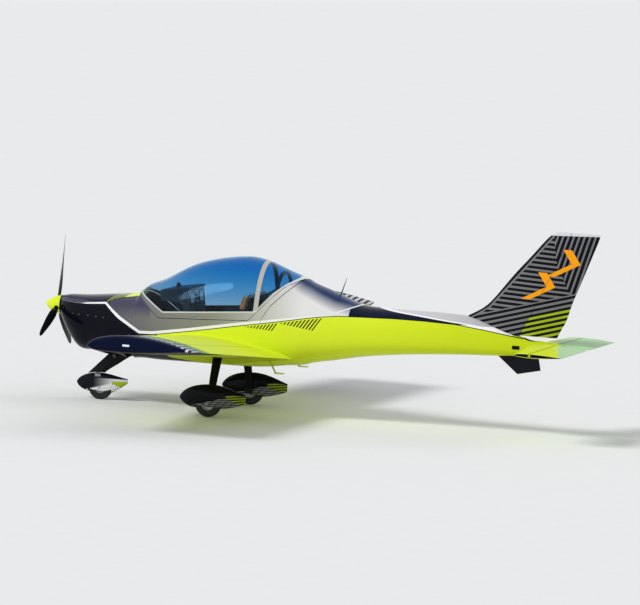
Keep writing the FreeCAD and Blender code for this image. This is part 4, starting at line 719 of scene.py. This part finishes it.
# Bounds as shares of the spat's length and height, stripes by slope, pitch and share
spatLook = {
    "top": [(0.0, 0.06), (0.22, 0.12), (0.70, 0.50), (0.95, 0.26), (1.0, 0.20)],
    "foot": [(0.0, 0.20), (0.22, 0.05), (0.66, 0.03), (0.95, 0.22), (1.0, 0.24)],
    "fieldStart": 0.2,
    # Top of the nose spat's painted shoulder highlight, and the runs along the spat over which it fades in
    "highlightTop": 0.74,
    "shoulder": ((0.12, 0.68), (0.35, 0.75)),
    "checks": (0.8, (0.034, 0.62), 0.25, (0.030, 0.5)),
    "rows": (0.12, (0.022, 0.55)),
    "cuts": (0.085, 0.9),
    "tail": (0.72, 0.62),
    "tailRows": (0.030, 0.5),
}


def spatPaint(name, node, dotted):
    # Dark gloss with a light patterned field low on the flanks and a lime patch at the tail; the nose spat
    # also gets a painted highlight, black brightening to light silver across its shoulder.
    material, shader, place = newMaterial(name)
    low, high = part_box(node)
    x, _, z = axes(place)
    along = spread(x, low.x, high.x)
    rise = spread(z, low.z, high.z)
    top, foot = (line(along, spatLook[key]) for key in ("top", "foot"))
    field = both(between(rise, foot, top), above(along, spatLook["fieldStart"]))
    tailStart, tailTop = spatLook["tail"]
    tail = both(between(rise, top, tailTop), above(along, tailStart))
    if dotted:
        # Painted highlight on the nose spat's shoulder: black brightening to light silver above the
        # patterned field
        fades = [spread(along, *run) for run in spatLook["shoulder"]]
        shoulder = both(between(rise, top, spatLook["highlightTop"]), *fades)
        colour = paint("black", tone(206, 206, 210), shoulder)
        forward, forwardStripes, back, backStripes = spatLook["checks"]
        checks = either(stripes(plus(x, times(z, forward)), *forwardStripes),
                        stripes(minus(z, times(x, back)), *backStripes))
        colour = paint(colour, "white", both(field, checks))
    else:
        slope, rowStripes = spatLook["rows"]
        leaning = minus(z, times(x, slope))
        rows, cuts = stripes(leaning, *rowStripes), stripes(minus(x, z), *spatLook["cuts"])
        colour = paint("black", tone(150, 152, 156), both(field, rows, cuts))
        tail = both(tail, stripes(leaning, *spatLook["tailRows"]))
    gloss(shader, place, paint(colour, "limeDeep", tail))
    return material


def plainPaint(name, ink, metallic=0.0, polish=0.16, coat=0.12):
    material, shader, place = newMaterial(name)
    shade = spread(noise(place, 1.6, 3.0), 0.3, 0.7, 0.92, 1.0)
    mixed = addNode("Mix")
    mixed.data_type = "RGBA"
    mixed.blend_type = "MULTIPLY"
    feed(mixed.inputs[0], 1.0)
    feed(mixed.inputs[6], ink)
    feed(mixed.inputs[7], shade)
    gloss(shader, place, mixed.outputs[2], metallic, polish, coat=coat)
    return material


def tintedGlass(name, thick, pale, bottom, top):
    # Blue-tinted sheet, deeper towards the crown; light passes it without being lost.
    material, shader, place = newMaterial(name)
    z = axes(place)[2]
    feed(shader.inputs["Base Color"], paint(pale, thick, spread(z, bottom, top)))
    feed(shader.inputs["Transmission Weight"], 1.0)
    feed(shader.inputs["IOR"], 1.2)
    smear = noise(place, 7.0, 4.0)
    feed(shader.inputs["Roughness"], spread(smear, 0.45, 0.8, 0.0, 0.04))
    rays = addNode("LightPath")
    feed(shader.inputs["Alpha"], minus(1.0, times(rays.outputs["Is Shadow Ray"], 0.75)))
    return material


def grained(name, ink, wornInk, cells=500.0, roughness=0.55, height=0.25, wear=0.3, sheen=0.0):
    material, shader, place = newMaterial(name)
    grain = placeGroup("grain", place, Cells=cells, Wear=wear)
    feed(shader.inputs["Base Color"], paint(ink, wornInk, grain["Tone"]))
    feed(shader.inputs["Roughness"], plus(grain["Roughness"], roughness, clamp=True))
    feed(shader.inputs["Sheen Weight"], sheen)
    bump(shader, grain["Height"], height, 0.0006)
    return material


def woven(name, ink, shadeInk, threads, roughness=0.85, sheen=0.2):
    material, shader, place = newMaterial(name)
    cloth = placeGroup("weave", place, Threads=threads)
    feed(shader.inputs["Base Color"], paint(shadeInk, ink, cloth["Tone"]))
    feed(shader.inputs["Roughness"], roughness)
    feed(shader.inputs["Sheen Weight"], sheen)
    bump(shader, cloth["Height"], 0.35, 0.0005)
    return material


def metal(name, ink, polish=0.25, across=900.0):
    material, shader, place = newMaterial(name)
    worked = placeGroup("metal", place, Across=across, Polish=polish)
    dullInk = tuple(share * 0.7 for share in ink[:3]) + (1.0,)
    feed(shader.inputs["Base Color"], paint(dullInk, ink, worked["Tone"]))
    feed(shader.inputs["Metallic"], 1.0)
    feed(shader.inputs["Roughness"], worked["Roughness"])
    bump(shader, worked["Height"], 0.08, 0.0002)
    return material


def screenGlass():
    # Dark display behind glass, switched off.
    material, shader, place = newMaterial("screenGlass")
    haze = noise(place, 40.0, 3.0)
    feed(shader.inputs["Base Color"], paint(tone(10, 14, 20), tone(22, 30, 40), haze))
    feed(shader.inputs["Roughness"], spread(haze, 0.3, 0.8, 0.03, 0.12))
    feed(shader.inputs["Coat Weight"], 1.0)
    return material


def heatStained():
    material, shader, place = newMaterial("exhaustSteel")
    z = axes(place)[2]
    worked = placeGroup("metal", place, Across=400.0, Polish=0.38)
    stain = paint(tone(60, 56, 54), tone(128, 112, 98), spread(z, 0.5, 0.66))
    feed(shader.inputs["Base Color"], paint(tone(52, 44, 40), stain, worked["Tone"]))
    feed(shader.inputs["Metallic"], 0.9)
    feed(shader.inputs["Roughness"], worked["Roughness"])
    bump(shader, worked["Height"], 0.15, 0.0003)
    return material


finishes = {
    "fuselage": fuselagePaint(),
    "frame": framePaint(),
    "wing": wingPaint(),
    "tailplane": tailPaint("tailplanePaint"),
    "elevator": tailPaint("elevatorPaint"),
    "fin": finPaint(),
    "spatLeft": spatPaint("spatPaintLeft", "main_spat_left", False),
    "spatRight": spatPaint("spatPaintRight", "main_spat_right", False),
    "spatNose": spatPaint("spatPaintNose", "nose_spat", True),
    "dark": plainPaint("darkPaint", inks["black"]),
    "leg": plainPaint("legPaint", tone(12, 13, 20), polish=0.28, coat=0.05),
    "lime": plainPaint("limePaint", inks["lime"]),
    "blade": plainPaint("bladeFinish", tone(17, 18, 22), polish=0.3, coat=0.3),
    "glass": tintedGlass("canopyGlass", tone(20, 166, 222), tone(176, 208, 228), 1.25, 1.80),
    "lamp": plainPaint("lampGlass", tone(236, 240, 244), polish=0.1, coat=0.8),
    "rubber": grained("tyreRubber", tone(20, 20, 22), tone(46, 45, 44), 300.0, 0.75, 0.2, 0.35),
    "panel": grained("moulding", tone(30, 31, 34), tone(58, 59, 62), 700.0, 0.6, 0.3, 0.3),
    "liner": grained("linerCloth", tone(50, 51, 55), tone(78, 79, 84), 350.0, 0.85, 0.4, 0.4, 0.2),
    "leather": grained("seatLeather", tone(226, 104, 30), tone(246, 146, 74), 420.0, 0.42, 0.35, 0.45,
                       0.1),
    "carpet": woven("carpet", tone(62, 64, 68), tone(34, 35, 38), 1500.0),
    "webbing": woven("webbing", tone(40, 42, 48), tone(18, 19, 22), 2600.0, 0.7, 0.3),
    "rim": metal("rimAlloy", tone(160, 162, 166), 0.28),
    "steel": metal("machinedSteel", tone(150, 150, 154), 0.3),
    "tube": plainPaint("tubePaint", tone(40, 42, 48), 0.3, 0.3),
    "caliper": metal("caliperAlloy", tone(206, 150, 66), 0.3),
    "engine": metal("castAlloy", tone(128, 128, 130), 0.5, 300.0),
    "exhaust": heatStained(),
    "screen": screenGlass(),
    "grip": grained("gripRubber", tone(22, 22, 24), tone(44, 44, 46), 900.0, 0.75, 0.4, 0.2),
    "red": plainPaint("redKnob", tone(178, 30, 26), polish=0.3),
    "whiteMark": plainPaint("markPaint", tone(226, 226, 222), polish=0.35, coat=0.1),
}
print("materials built")


# CAD nodes keep their shapes and take their finishes
nodeFinish = {
    "fuselage": ("cowl_upper", "cowl_lower", "cabin_shell", "tail_boom"),
    "frame": ("canopy_frame",),
    "wing": ("wing_right", "wing_left", "flap_right", "flap_left", "aileron_right", "aileron_left"),
    "tailplane": ("tailplane",),
    "elevator": ("elevator",),
    "fin": ("fin", "rudder"),
    "spatLeft": ("main_spat_left",),
    "spatRight": ("main_spat_right",),
    "spatNose": ("nose_spat",),
    "dark": ("ventral_fin", "spinner_backplate"),
    "leg": ("main_legs", "nose_leg"),
    "lime": ("spinner", "boarding_steps"),
    "blade": ("propeller", "antenna"),
    "glass": ("canopy_glass", "canopy_rear_glass"),
    "lamp": ("nav_lights",),
    "rubber": ("main_tyre_right", "main_tyre_left", "nose_tyre"),
    "rim": ("main_rim_right", "main_rim_left", "nose_rim", "rudder_pedals"),
    "steel": ("main_axles", "nose_fork", "brake_disc_right", "brake_disc_left", "canopy_latches"),
    "caliper": ("brake_calipers",),
    "engine": ("engine",),
    "tube": ("engine_mount", "roll_bar", "control_sticks", "console_levers"),
    "exhaust": ("exhaust_stubs",),
    "panel": ("instrument_panel", "centre_console"),
    "liner": ("rear_bulkhead", "baggage_shelf", "seat_base"),
    "carpet": ("cabin_floor",),
    "leather": ("seats",),
}
for finish, members in nodeFinish.items():
    for member in members:
        if member in nodes:
            node = nodes[member]
            node.data.materials.clear()
            node.data.materials.append(finishes[finish])
print("CAD nodes painted")


# Shapes made in mesh code
def newPiece(name, build):
    mesh = bpy.data.meshes.new(name)
    build.to_mesh(mesh)
    build.free()
    piece = bpy.data.objects.new(name, mesh)
    bpy.context.scene.collection.objects.link(piece)
    return piece


def lathe(name, profile, middle, axis, steps=48, closed=False):
    # Turns a profile of radius and height about an axis through the middle.
    build = bmesh.new()
    turn = Vector(axis).to_track_quat("Z", "Y").to_matrix()
    rings = []
    for index in range(steps):
        angle = 2 * math.pi * index / steps
        rings.append([build.verts.new(turn @ Vector((radius * math.cos(angle), radius * math.sin(angle),
                                                     height)) + Vector(middle))
                      for radius, height in profile])
    count = len(profile)
    for index in range(steps):
        here, there = rings[index], rings[(index + 1) % steps]
        for k in range(count if closed else count - 1):
            n = (k + 1) % count
            build.faces.new((here[k], there[k], there[n], here[n]))
    piece = newPiece(name, build)
    fixNormals(piece)
    return piece


def prism(name, outline, low, high):
    # A side outline of x and z, drawn out across between two values of y.
    build = bmesh.new()
    near, far = [[build.verts.new((x, y, z)) for x, z in outline] for y in (low, high)]
    build.faces.new(near)
    build.faces.new(list(reversed(far)))
    for k in range(len(outline)):
        n = (k + 1) % len(outline)
        build.faces.new((near[n], near[k], far[k], far[n]))
    piece = newPiece(name, build)
    fixNormals(piece)
    return piece


def strap(name, places, width, thickness=0.0022):
    # Flat webbing through places, each with the direction that lies across it.
    build = bmesh.new()
    rows = [[build.verts.new(Vector(place) + Vector(across).normalized() * width * share)
             for share in (-0.5, 0.0, 0.5)] for place, across in places]
    for here, there in zip(rows, rows[1:]):
        for k in range(2):
            build.faces.new((here[k], there[k], there[k + 1], here[k + 1]))
    piece = newPiece(name, build)
    addModifier(piece, "SOLIDIFY", thickness=thickness, offset=0)
    addModifier(piece, "SUBSURF", levels=2, render_levels=2)
    return piece


# Tyres with worn grooves round the tread
tyreLook = {
    "side": ((0.0, 0.72), (0.08, 0.86), (0.22, 0.96), (0.25, 0.99), (0.29, 0.965), (0.55, 1.0),
             (0.78, 0.95), (0.9, 0.85)),
    "tread": 0.76,
    "crownDrop": 0.06,
    "grooves": (-0.5, -0.17, 0.17, 0.5),
    "grooveHalf": 0.035,
    "grooveDepth": 0.0042,
    "mainRim": 0.080,
    "noseRim": 0.072,
}


def makeTyre(name, node, rimRadius, body):
    low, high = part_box(node)
    middle, radius, half = (low + high) / 2, (high.z - low.z) / 2, (high.y - low.y) / 2
    wall = radius - rimRadius
    side = [(rimRadius + wall * rise, half * out) for rise, out in tyreLook["side"]]
    places = [-tyreLook["tread"]]
    for groove in tyreLook["grooves"]:
        places += [groove + tyreLook["grooveHalf"] * share for share in (-1.3, -1.0, 1.0, 1.3)]
    places.append(tyreLook["tread"])
    tread = []
    for place in places:
        sunk = any(abs(place - groove) < tyreLook["grooveHalf"] * 1.1 for groove in tyreLook["grooves"])
        drop = wall * tyreLook["crownDrop"] * (place / tyreLook["tread"]) ** 2
        tread.append((radius - drop - (tyreLook["grooveDepth"] if sunk else 0.0), half * place))
    profile = [(r, -w) for r, w in side] + tread + list(reversed(side))
    piece = lathe(name, profile, middle, (0, 1, 0), 144, closed=True)
    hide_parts(node)
    dress(piece, finishes["rubber"], body, smooth=32)


makeTyre("tyreRight", "main_tyre_right", tyreLook["mainRim"], "wheel_right")
makeTyre("tyreLeft", "main_tyre_left", tyreLook["mainRim"], "wheel_left")
makeTyre("tyreNose", "nose_tyre", tyreLook["noseRim"], "nose_wheel")
print("tyres built")


# Fasteners sit on the skin where a line from outside meets it
fastenerLook = {
    "profile": [(0.0, 0.0004), (0.0016, 0.0004), (0.0020, 0.0011), (0.0048, 0.0010), (0.0058, 0.0),
                (0.0058, -0.0015)],
    "cowlSide": [(-3.04, 1.05), (-2.94, 1.052), (-2.82, 1.052), (-2.71, 1.05), (-2.61, 1.045)],
    "cowlRear": [(-2.262, z) for z in (0.66, 0.76, 0.86, 0.96, 1.06, 1.16, 1.25, 1.33)],
    "reach": 1.2,
}


for label in ("Side", "Rear"):
    starts = [((x, side * fastenerLook["reach"], z), (0, -side, 0))
              for side in (-1, 1) for x, z in fastenerLook["cowl" + label]]
    for node in ("cowl_upper", "cowl_lower"):
        name = node.replace("cowl_", "cowl") + label + "Fasteners"
        hits = [hit for hit in (surfaceHit(node, *start) for start in starts) if hit]
        if hits:
            pieces = [lathe(name, fastenerLook["profile"], *hit, 16) for hit in hits]
            dress(joinPieces(pieces, name), finishes["steel"])


# Flush fuel caps on the wing roots
capLook = {
    "x": -1.42,
    "y": 0.98,
    "profile": [(0.0, 0.0012), (0.010, 0.0012), (0.011, 0.0030), (0.017, 0.0030), (0.018, 0.0012),
                (0.030, 0.0014), (0.031, 0.0), (0.033, 0.0), (0.034, 0.0016), (0.042, 0.0012),
                (0.043, -0.001)],
}
for side, label in reversed(sides):
    hit = surfaceHit("wing_" + label.lower(), (capLook["x"], side * capLook["y"], 2.0), (0, 0, -1))
    cap = lathe("fuelCap" + label, capLook["profile"], *hit, 48)
    dress(cap, finishes["steel"])
print("fasteners and caps built")


# Seats: cushions swell under their covers, on a thin moulded shell
seatLook = {
    "middle": 0.2516,
    "half": 0.200,
    "pads": {
        "seatCushion": [(-1.450, 0.730), (-1.452, 0.812), (-1.415, 0.836), (-1.10, 0.800),
                        (-1.050, 0.786), (-1.012, 0.730)],
        "seatBack": [(-1.036, 0.815), (-0.905, 1.262), (-0.845, 1.262), (-0.962, 0.815)],
        "headRest": [(-0.902, 1.288), (-0.856, 1.452), (-0.828, 1.462), (-0.792, 1.450), (-0.838, 1.288)],
    },
    "shell": [(-0.962, 0.735), (-0.948, 0.735), (-0.762, 1.440), (-0.776, 1.446)],
    "shellHalf": 0.206,
    "shellRound": 0.005,
    "round": 0.018,
    "voxel": 0.0075,
    "cap": 0.016,
    "pressure": 4.0,
    "frames": 20,
    "channels": (-0.075, 0.075),
    "channelDepth": 0.0055,
    "channelWidth": 0.0065,
}


def swell(piece, cap):
    starts = [vertex.co.copy() for vertex in piece.data.vertices]
    cover = piece.modifiers.new("cover", "CLOTH")
    cover.settings.quality = 4
    cover.settings.use_pressure = True
    cover.settings.uniform_pressure_force = seatLook["pressure"]
    cover.settings.effector_weights.gravity = 0.0
    cover.point_cache.frame_start = 1
    cover.point_cache.frame_end = seatLook["frames"]
    scene = bpy.context.scene
    for step in range(seatLook["frames"]):
        scene.frame_set(step + 1)
    swollen = piece.evaluated_get(bpy.context.evaluated_depsgraph_get()).to_mesh()
    ends = [vertex.co.copy() for vertex in swollen.vertices]
    piece.modifiers.remove(cover)
    scene.frame_set(1)
    for vertex, start, end in zip(piece.data.vertices, starts, ends):
        move = end - start
        vertex.co = start + move * min(1.0, cap / max(move.length, 1e-9))


def sewChannels(piece, middle):
    # Sewn lines sink into the front of a cushion after it has swelled.
    piece.data.update()
    width, depth = seatLook["channelWidth"], seatLook["channelDepth"]
    moves = []
    for vertex in piece.data.vertices:
        near = min(abs(vertex.co.y - middle - offset) for offset in seatLook["channels"])
        moves.append(vertex.normal * depth * math.exp(-(near / width) ** 2))
    for vertex, move in zip(piece.data.vertices, moves):
        vertex.co -= move


def makePad(name, outline, middle):
    piece = prism(name, outline, middle - seatLook["half"], middle + seatLook["half"])
    addModifier(piece, "BEVEL", width=seatLook["round"], segments=4)
    addModifier(piece, "REMESH", mode="VOXEL", voxel_size=seatLook["voxel"])
    swell(piece, seatLook["cap"])
    addModifier(piece, "SUBSURF", levels=1, render_levels=1)
    sewChannels(piece, middle)
    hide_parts("seats")
    return dress(piece, finishes["leather"], smooth=60)


def padHit(pads, start, direction):
    hits = []
    for pad in pads:
        found, place = pad.ray_cast(Vector(start), Vector(direction).normalized())[:2]
        if found:
            hits.append(((place - Vector(start)).length, place))
    return min(hits)[1] if hits else None


beltLook = {
    "width": 0.044,
    "lift": 0.004,
    "front": (-0.96, 0.0, 0.28),
    "apart": 0.085,
    "drawTop": 1.45,
    "drawRun": 0.6,
    "drawnIn": 0.035,
    "ahead": -1.6,
    "overhead": 1.3,
    "slant": 0.45,
    "overTop": ((-0.775, 1.452), (-0.812, 1.480), (-0.862, 1.470)),
    "shoulder": (1.43, 1.36, 1.28, 1.18, 1.08, 0.98, 0.90),
    "buckle": -1.175,
    "buckleProfile": [(0.0, -0.010), (0.027, -0.010), (0.030, -0.004), (0.030, 0.005), (0.027, 0.009),
                      (0.015, 0.010), (0.014, 0.014), (0.0, 0.015)],
    "buckleRise": 0.012,
    "shoulderEnds": ((0.05, 0.034, 0.010), (0.018, 0.020, 0.002)),
    "lapStart": (0.02, 0.012, -0.05),
    "lapEnd": 0.022,
    "lap": (0.178, 0.14, 0.10, 0.06),
}


def makeBelts(label, pads, middle):
    lift, width = beltLook["lift"], beltLook["width"]
    forward = Vector(beltLook["front"]).normalized()
    onSeat = padHit(pads, (beltLook["buckle"], middle, beltLook["overhead"]), (0, 0, -1))
    onSeat += Vector((0, 0, beltLook["buckleRise"]))
    pieces = []
    for side in (-1, 1):
        places = [((x, middle + side * beltLook["apart"], z), (0, 1, 0)) for x, z in beltLook["overTop"]]
        for height in beltLook["shoulder"]:
            share = (beltLook["drawTop"] - height) / beltLook["drawRun"]
            y = middle + side * (beltLook["apart"] - beltLook["drawnIn"] * share)
            place = padHit(pads, (beltLook["ahead"], y, height + 0.02), (1, 0, 0))
            if place:
                places.append((place + forward * lift, (0, 1, -side * 0.1)))
        for back, out, rise in beltLook["shoulderEnds"]:
            places.append((onSeat + Vector((back, side * out, rise)), (0, 1, 0)))
        pieces.append(strap("shoulderBelt", places, width))
        lap = []
        for out in beltLook["lap"]:
            x = beltLook["buckle"] + out * beltLook["slant"]
            start = (x, middle + side * out, beltLook["overhead"])
            lap.append((padHit(pads, start, (0, 0, -1)) + Vector((0, 0, lift)),
                        (1, -side * beltLook["slant"], 0)))
        back, out, rise = beltLook["lapStart"]
        lap.insert(0, (lap[0][0] + Vector((back, side * out, rise)), (1, 0, 0)))
        lap.append((onSeat + Vector((0, side * beltLook["lapEnd"], 0)), (1, 0, 0)))
        pieces.append(strap("lapBelt", lap, width))
    dress(joinPieces(pieces, "belts" + label), finishes["webbing"], smooth=50)
    onSeat += Vector((0, 0, lift))
    buckle = lathe("buckle" + label, beltLook["buckleProfile"], onSeat, (0, 0, 1), 40)
    dress(buckle, finishes["red"])


for side, label in sides:
    middle = side * seatLook["middle"]
    pads = [makePad(name + label, outline, middle) for name, outline in seatLook["pads"].items()]
    shell = prism("seatShell" + label, seatLook["shell"], middle - seatLook["shellHalf"],
                  middle + seatLook["shellHalf"])
    addModifier(shell, "BEVEL", width=seatLook["shellRound"], segments=3)
    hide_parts("seats")
    dress(shell, finishes["panel"])
    makeBelts(label, pads, middle)
print("seats and belts built")


# Instruments on the face of the panel: u across, v up the face, w out of it
panelLook = {
    "top": (-1.576, 0.0, 1.462),
    "bottom": (-1.544, 0.0, 1.205),
    "bezel": (0.104, 0.074, 0.011),
    "step": 0.0003,
    "sunk": 0.0028,
    "bezelRim": 0.013,
    "displays": (-0.215, 0.215),
    "displayRow": 0.028,
    "displayKnobs": (-0.09, 0.09),
    "displayKnob": (-0.062, 0.009, 0.018),
    "switches": (-0.06, -0.03, 0.0, 0.03, 0.06),
    "switch": (-0.095, 0.0045, 0.013),
    "stack": ((0.082, 0.052), (0.030, 0.044), (-0.022, 0.044)),
    "radio": (0.078, 0.008, 0.009),
    "radioKnob": (0.088, 0.007, 0.016),
    "knob": [(0.0, 1.0), (0.8, 1.0), (1.0, 0.86), (0.94, 0.2), (1.3, 0.12)],
    "gauges": (-0.052, 0.0, 0.052),
    "gaugeRow": -0.085,
    "gaugeRadius": 0.027,
    "gauge": [(1.0, -0.001), (1.0, 0.005), (0.9, 0.007), (0.84, 0.004), (0.0, 0.0035)],
    "needle": ((-0.0009, -0.089, 0.0042), (0.0009, -0.066, 0.0048)),
}


def panelPlace():
    top, bottom = Vector(panelLook["top"]), Vector(panelLook["bottom"])
    across, rise = Vector((0, 1, 0)), (top - bottom).normalized()
    turn = Matrix((across, rise, across.cross(rise))).transposed().to_4x4()
    return Matrix.Translation((top + bottom) / 2) @ turn


def bezelWith(name, middle, half, depth, rim):
    low, high = ((middle[0] + side * half[0], middle[1] + side * half[1]) for side in (-1, 1))
    piece = addBox(name, (*low, -0.002), (*high, depth))
    piece.data.materials.append(finishes["panel"])
    piece.data.materials.append(finishes["screen"])
    addModifier(piece, "BEVEL", width=0.004, segments=3)
    pickFaces(piece, lambda normal, place: normal.z > 0.99 and place.z > depth - 0.0005)
    bpy.ops.mesh.inset(thickness=rim, depth=0)
    bpy.ops.mesh.inset(thickness=panelLook["step"], depth=-panelLook["sunk"])
    piece.active_material_index = 1
    bpy.ops.object.material_slot_assign()
    bpy.ops.object.mode_set(mode="OBJECT")
    return piece


def knob(name, u, v, radius, height):
    profile = [(radius * out, height * rise) for out, rise in panelLook["knob"]]
    profile.append((profile[-1][0], -0.001))
    piece = lathe(name, profile, (u, v, 0.0), (0, 0, 1), 20)
    piece.data.materials.append(finishes["grip"])
    return piece


panelParts = []
for u in panelLook["displays"]:
    halfU, halfV, depth = panelLook["bezel"]
    panelParts.append(bezelWith("display", (u, panelLook["displayRow"]), (halfU, halfV), depth,
                                panelLook["bezelRim"]))
    for kind, offsets in (("displayKnob", panelLook["displayKnobs"]), ("switch", panelLook["switches"])):
        row, radius, height = panelLook[kind]
        panelParts += [knob(kind, u + offset, row, radius, height) for offset in offsets]
for v, height in panelLook["stack"]:
    halfU, depth, rim = panelLook["radio"]
    panelParts.append(bezelWith("radio", (0.0, v), (halfU, height / 2), depth, rim))
    u, radius, height = panelLook["radioKnob"]
    panelParts.append(knob("radioKnob", u, v, radius, height))
for u in panelLook["gauges"]:
    rim = lathe("gauge", [(panelLook["gaugeRadius"] * out, rise) for out, rise in panelLook["gauge"]],
                (u, panelLook["gaugeRow"], 0.0), (0, 0, 1), 32)
    rim.data.materials.append(finishes["panel"])
    needle = addBox("needle", *((u + x, y, z) for x, y, z in panelLook["needle"]))
    needle.data.materials.append(finishes["whiteMark"])
    panelParts += [rim, needle]
instruments = joinPieces(panelParts, "instruments")
instruments.data.transform(panelPlace())
dress(instruments, None)

# Compass on the coaming, grips on the sticks and knobs on the levers
compassLook = {
    "place": (-1.80, 0.0, 1.466),
    "profile": [(0.0, 0.052), (0.016, 0.048), (0.026, 0.034), (0.028, 0.022), (0.024, 0.008),
                (0.030, 0.004), (0.032, -0.004)],
}
compass = lathe("compass", compassLook["profile"], compassLook["place"], (0, 0, 1), 32)
dress(compass, finishes["grip"])

gripLook = {
    "top": (-1.382, 1.240),
    "foot": (-1.449, 0.930),
    "length": 0.108,
    "ribs": 7,
    "radius": 0.0178,
    "deep": 0.0022,
    "button": [(0.0, 0.004), (0.006, 0.003), (0.007, -0.001)],
}


def gripProfile():
    length, radius, ribs = gripLook["length"], gripLook["radius"], gripLook["ribs"]
    crest, root = radius + 0.001, radius - gripLook["deep"] + 0.002
    profile = [(0.0, length + 0.004), (0.012, length + 0.003), (radius, length - 0.006)]
    for rib in range(ribs, 0, -1):
        at = length * 0.86 * rib / ribs
        profile += [(crest, at), (crest, at - 0.005), (root, at - 0.0065), (root, at - 0.009)]
    return profile + [(radius + 0.004, 0.0), (radius + 0.003, -0.004)]


for side, label in sides:
    low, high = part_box("control_sticks")
    y = side * (high.y - gripLook["radius"])
    top, foot = (Vector((gripLook[end][0], y, gripLook[end][1])) for end in ("top", "foot"))
    lean = (top - foot).normalized()
    grip = lathe("stickGrip" + label, gripProfile(), top - lean * gripLook["length"], lean, 28)
    button = lathe("trimButton", gripLook["button"], top + lean * 0.004, lean, 16)
    dress(joinPieces([grip, button], "stickGrip" + label), finishes["grip"])

leverLook = {
    "tops": (((-1.482, 1.010), "grip"), ((-1.422, 0.975), "red"), ((-1.359, 1.015), "grip")),
    "profile": [(0.0, 0.024), (0.010, 0.021), (0.014, 0.012), (0.013, 0.002), (0.008, -0.006),
                (0.0065, -0.012)],
}
for index, ((x, z), finish) in enumerate(leverLook["tops"]):
    ball = lathe("leverKnob%d" % index, leverLook["profile"], (x, 0.0, z - 0.004), (0, 0, 1), 24)
    dress(ball, finishes[finish])
print("panel and controls built")


# Floor, sky and lamps
stageLook = {
    "floorHalf": 400.0,
    "floorTone": (0.83, 0.83, 0.83, 1.0),
    "sky": 0.5,
    "skyTone": (0.96, 0.98, 1.0, 1.0),
    "keyFrom": (-0.42, -0.66, 0.66),
    "keyStrength": 2.0,
    "keySoftness": 16.0,
    "fillFrom": (0.55, 0.6, 0.45),
    "fillStrength": 0.6,
    "fillSoftness": 40.0,
}


def buildStage():
    deselectAll()
    bpy.ops.mesh.primitive_plane_add(size=stageLook["floorHalf"] * 2, location=(0, 0, cadLow.z))
    floor = bpy.context.object
    floor.name = "floor"
    material, shader, place = newMaterial("floorPaper")
    mottled = noise(place, 3.0, 3.0)
    level = spread(mottled, 0.3, 0.7, 0.985, 1.0)
    scaled = addNode("VectorMath")
    scaled.operation = "SCALE"
    feed(scaled.inputs[0], stageLook["floorTone"][:3])
    feed(scaled.inputs["Scale"], level)
    feed(shader.inputs["Base Color"], scaled.outputs[0])
    feed(shader.inputs["Roughness"], 0.9)
    feed(shader.inputs["Specular IOR Level"], 0.1)
    floor.data.materials.append(material)
    world = bpy.data.worlds.new("softSky")
    bpy.context.scene.world = world
    world.use_nodes = True
    bench["tree"] = world.node_tree
    sky = bench["tree"].nodes["Background"]
    rays = addNode("LightPath")
    seen = either(rays.outputs["Is Camera Ray"], either(rays.outputs["Is Glossy Ray"],
                                                        rays.outputs["Is Transmission Ray"]))
    feed(sky.inputs["Color"], stageLook["skyTone"])
    feed(sky.inputs["Strength"], spread(seen, 0.0, 1.0, stageLook["sky"], 1.0))
    for name in ("key", "fill"):
        data = bpy.data.lights.new(name + "Lamp", "SUN")
        data.energy = stageLook[name + "Strength"]
        data.angle = math.radians(stageLook[name + "Softness"])
        lamp = bpy.data.objects.new(name + "Lamp", data)
        bpy.context.scene.collection.objects.link(lamp)
        lamp.rotation_euler = Vector(stageLook[name + "From"]).to_track_quat("Z", "Y").to_euler()
        lamp.visible_glossy = False
    bpy.context.scene.view_settings.view_transform = "Standard"


buildStage()
print("stage built")
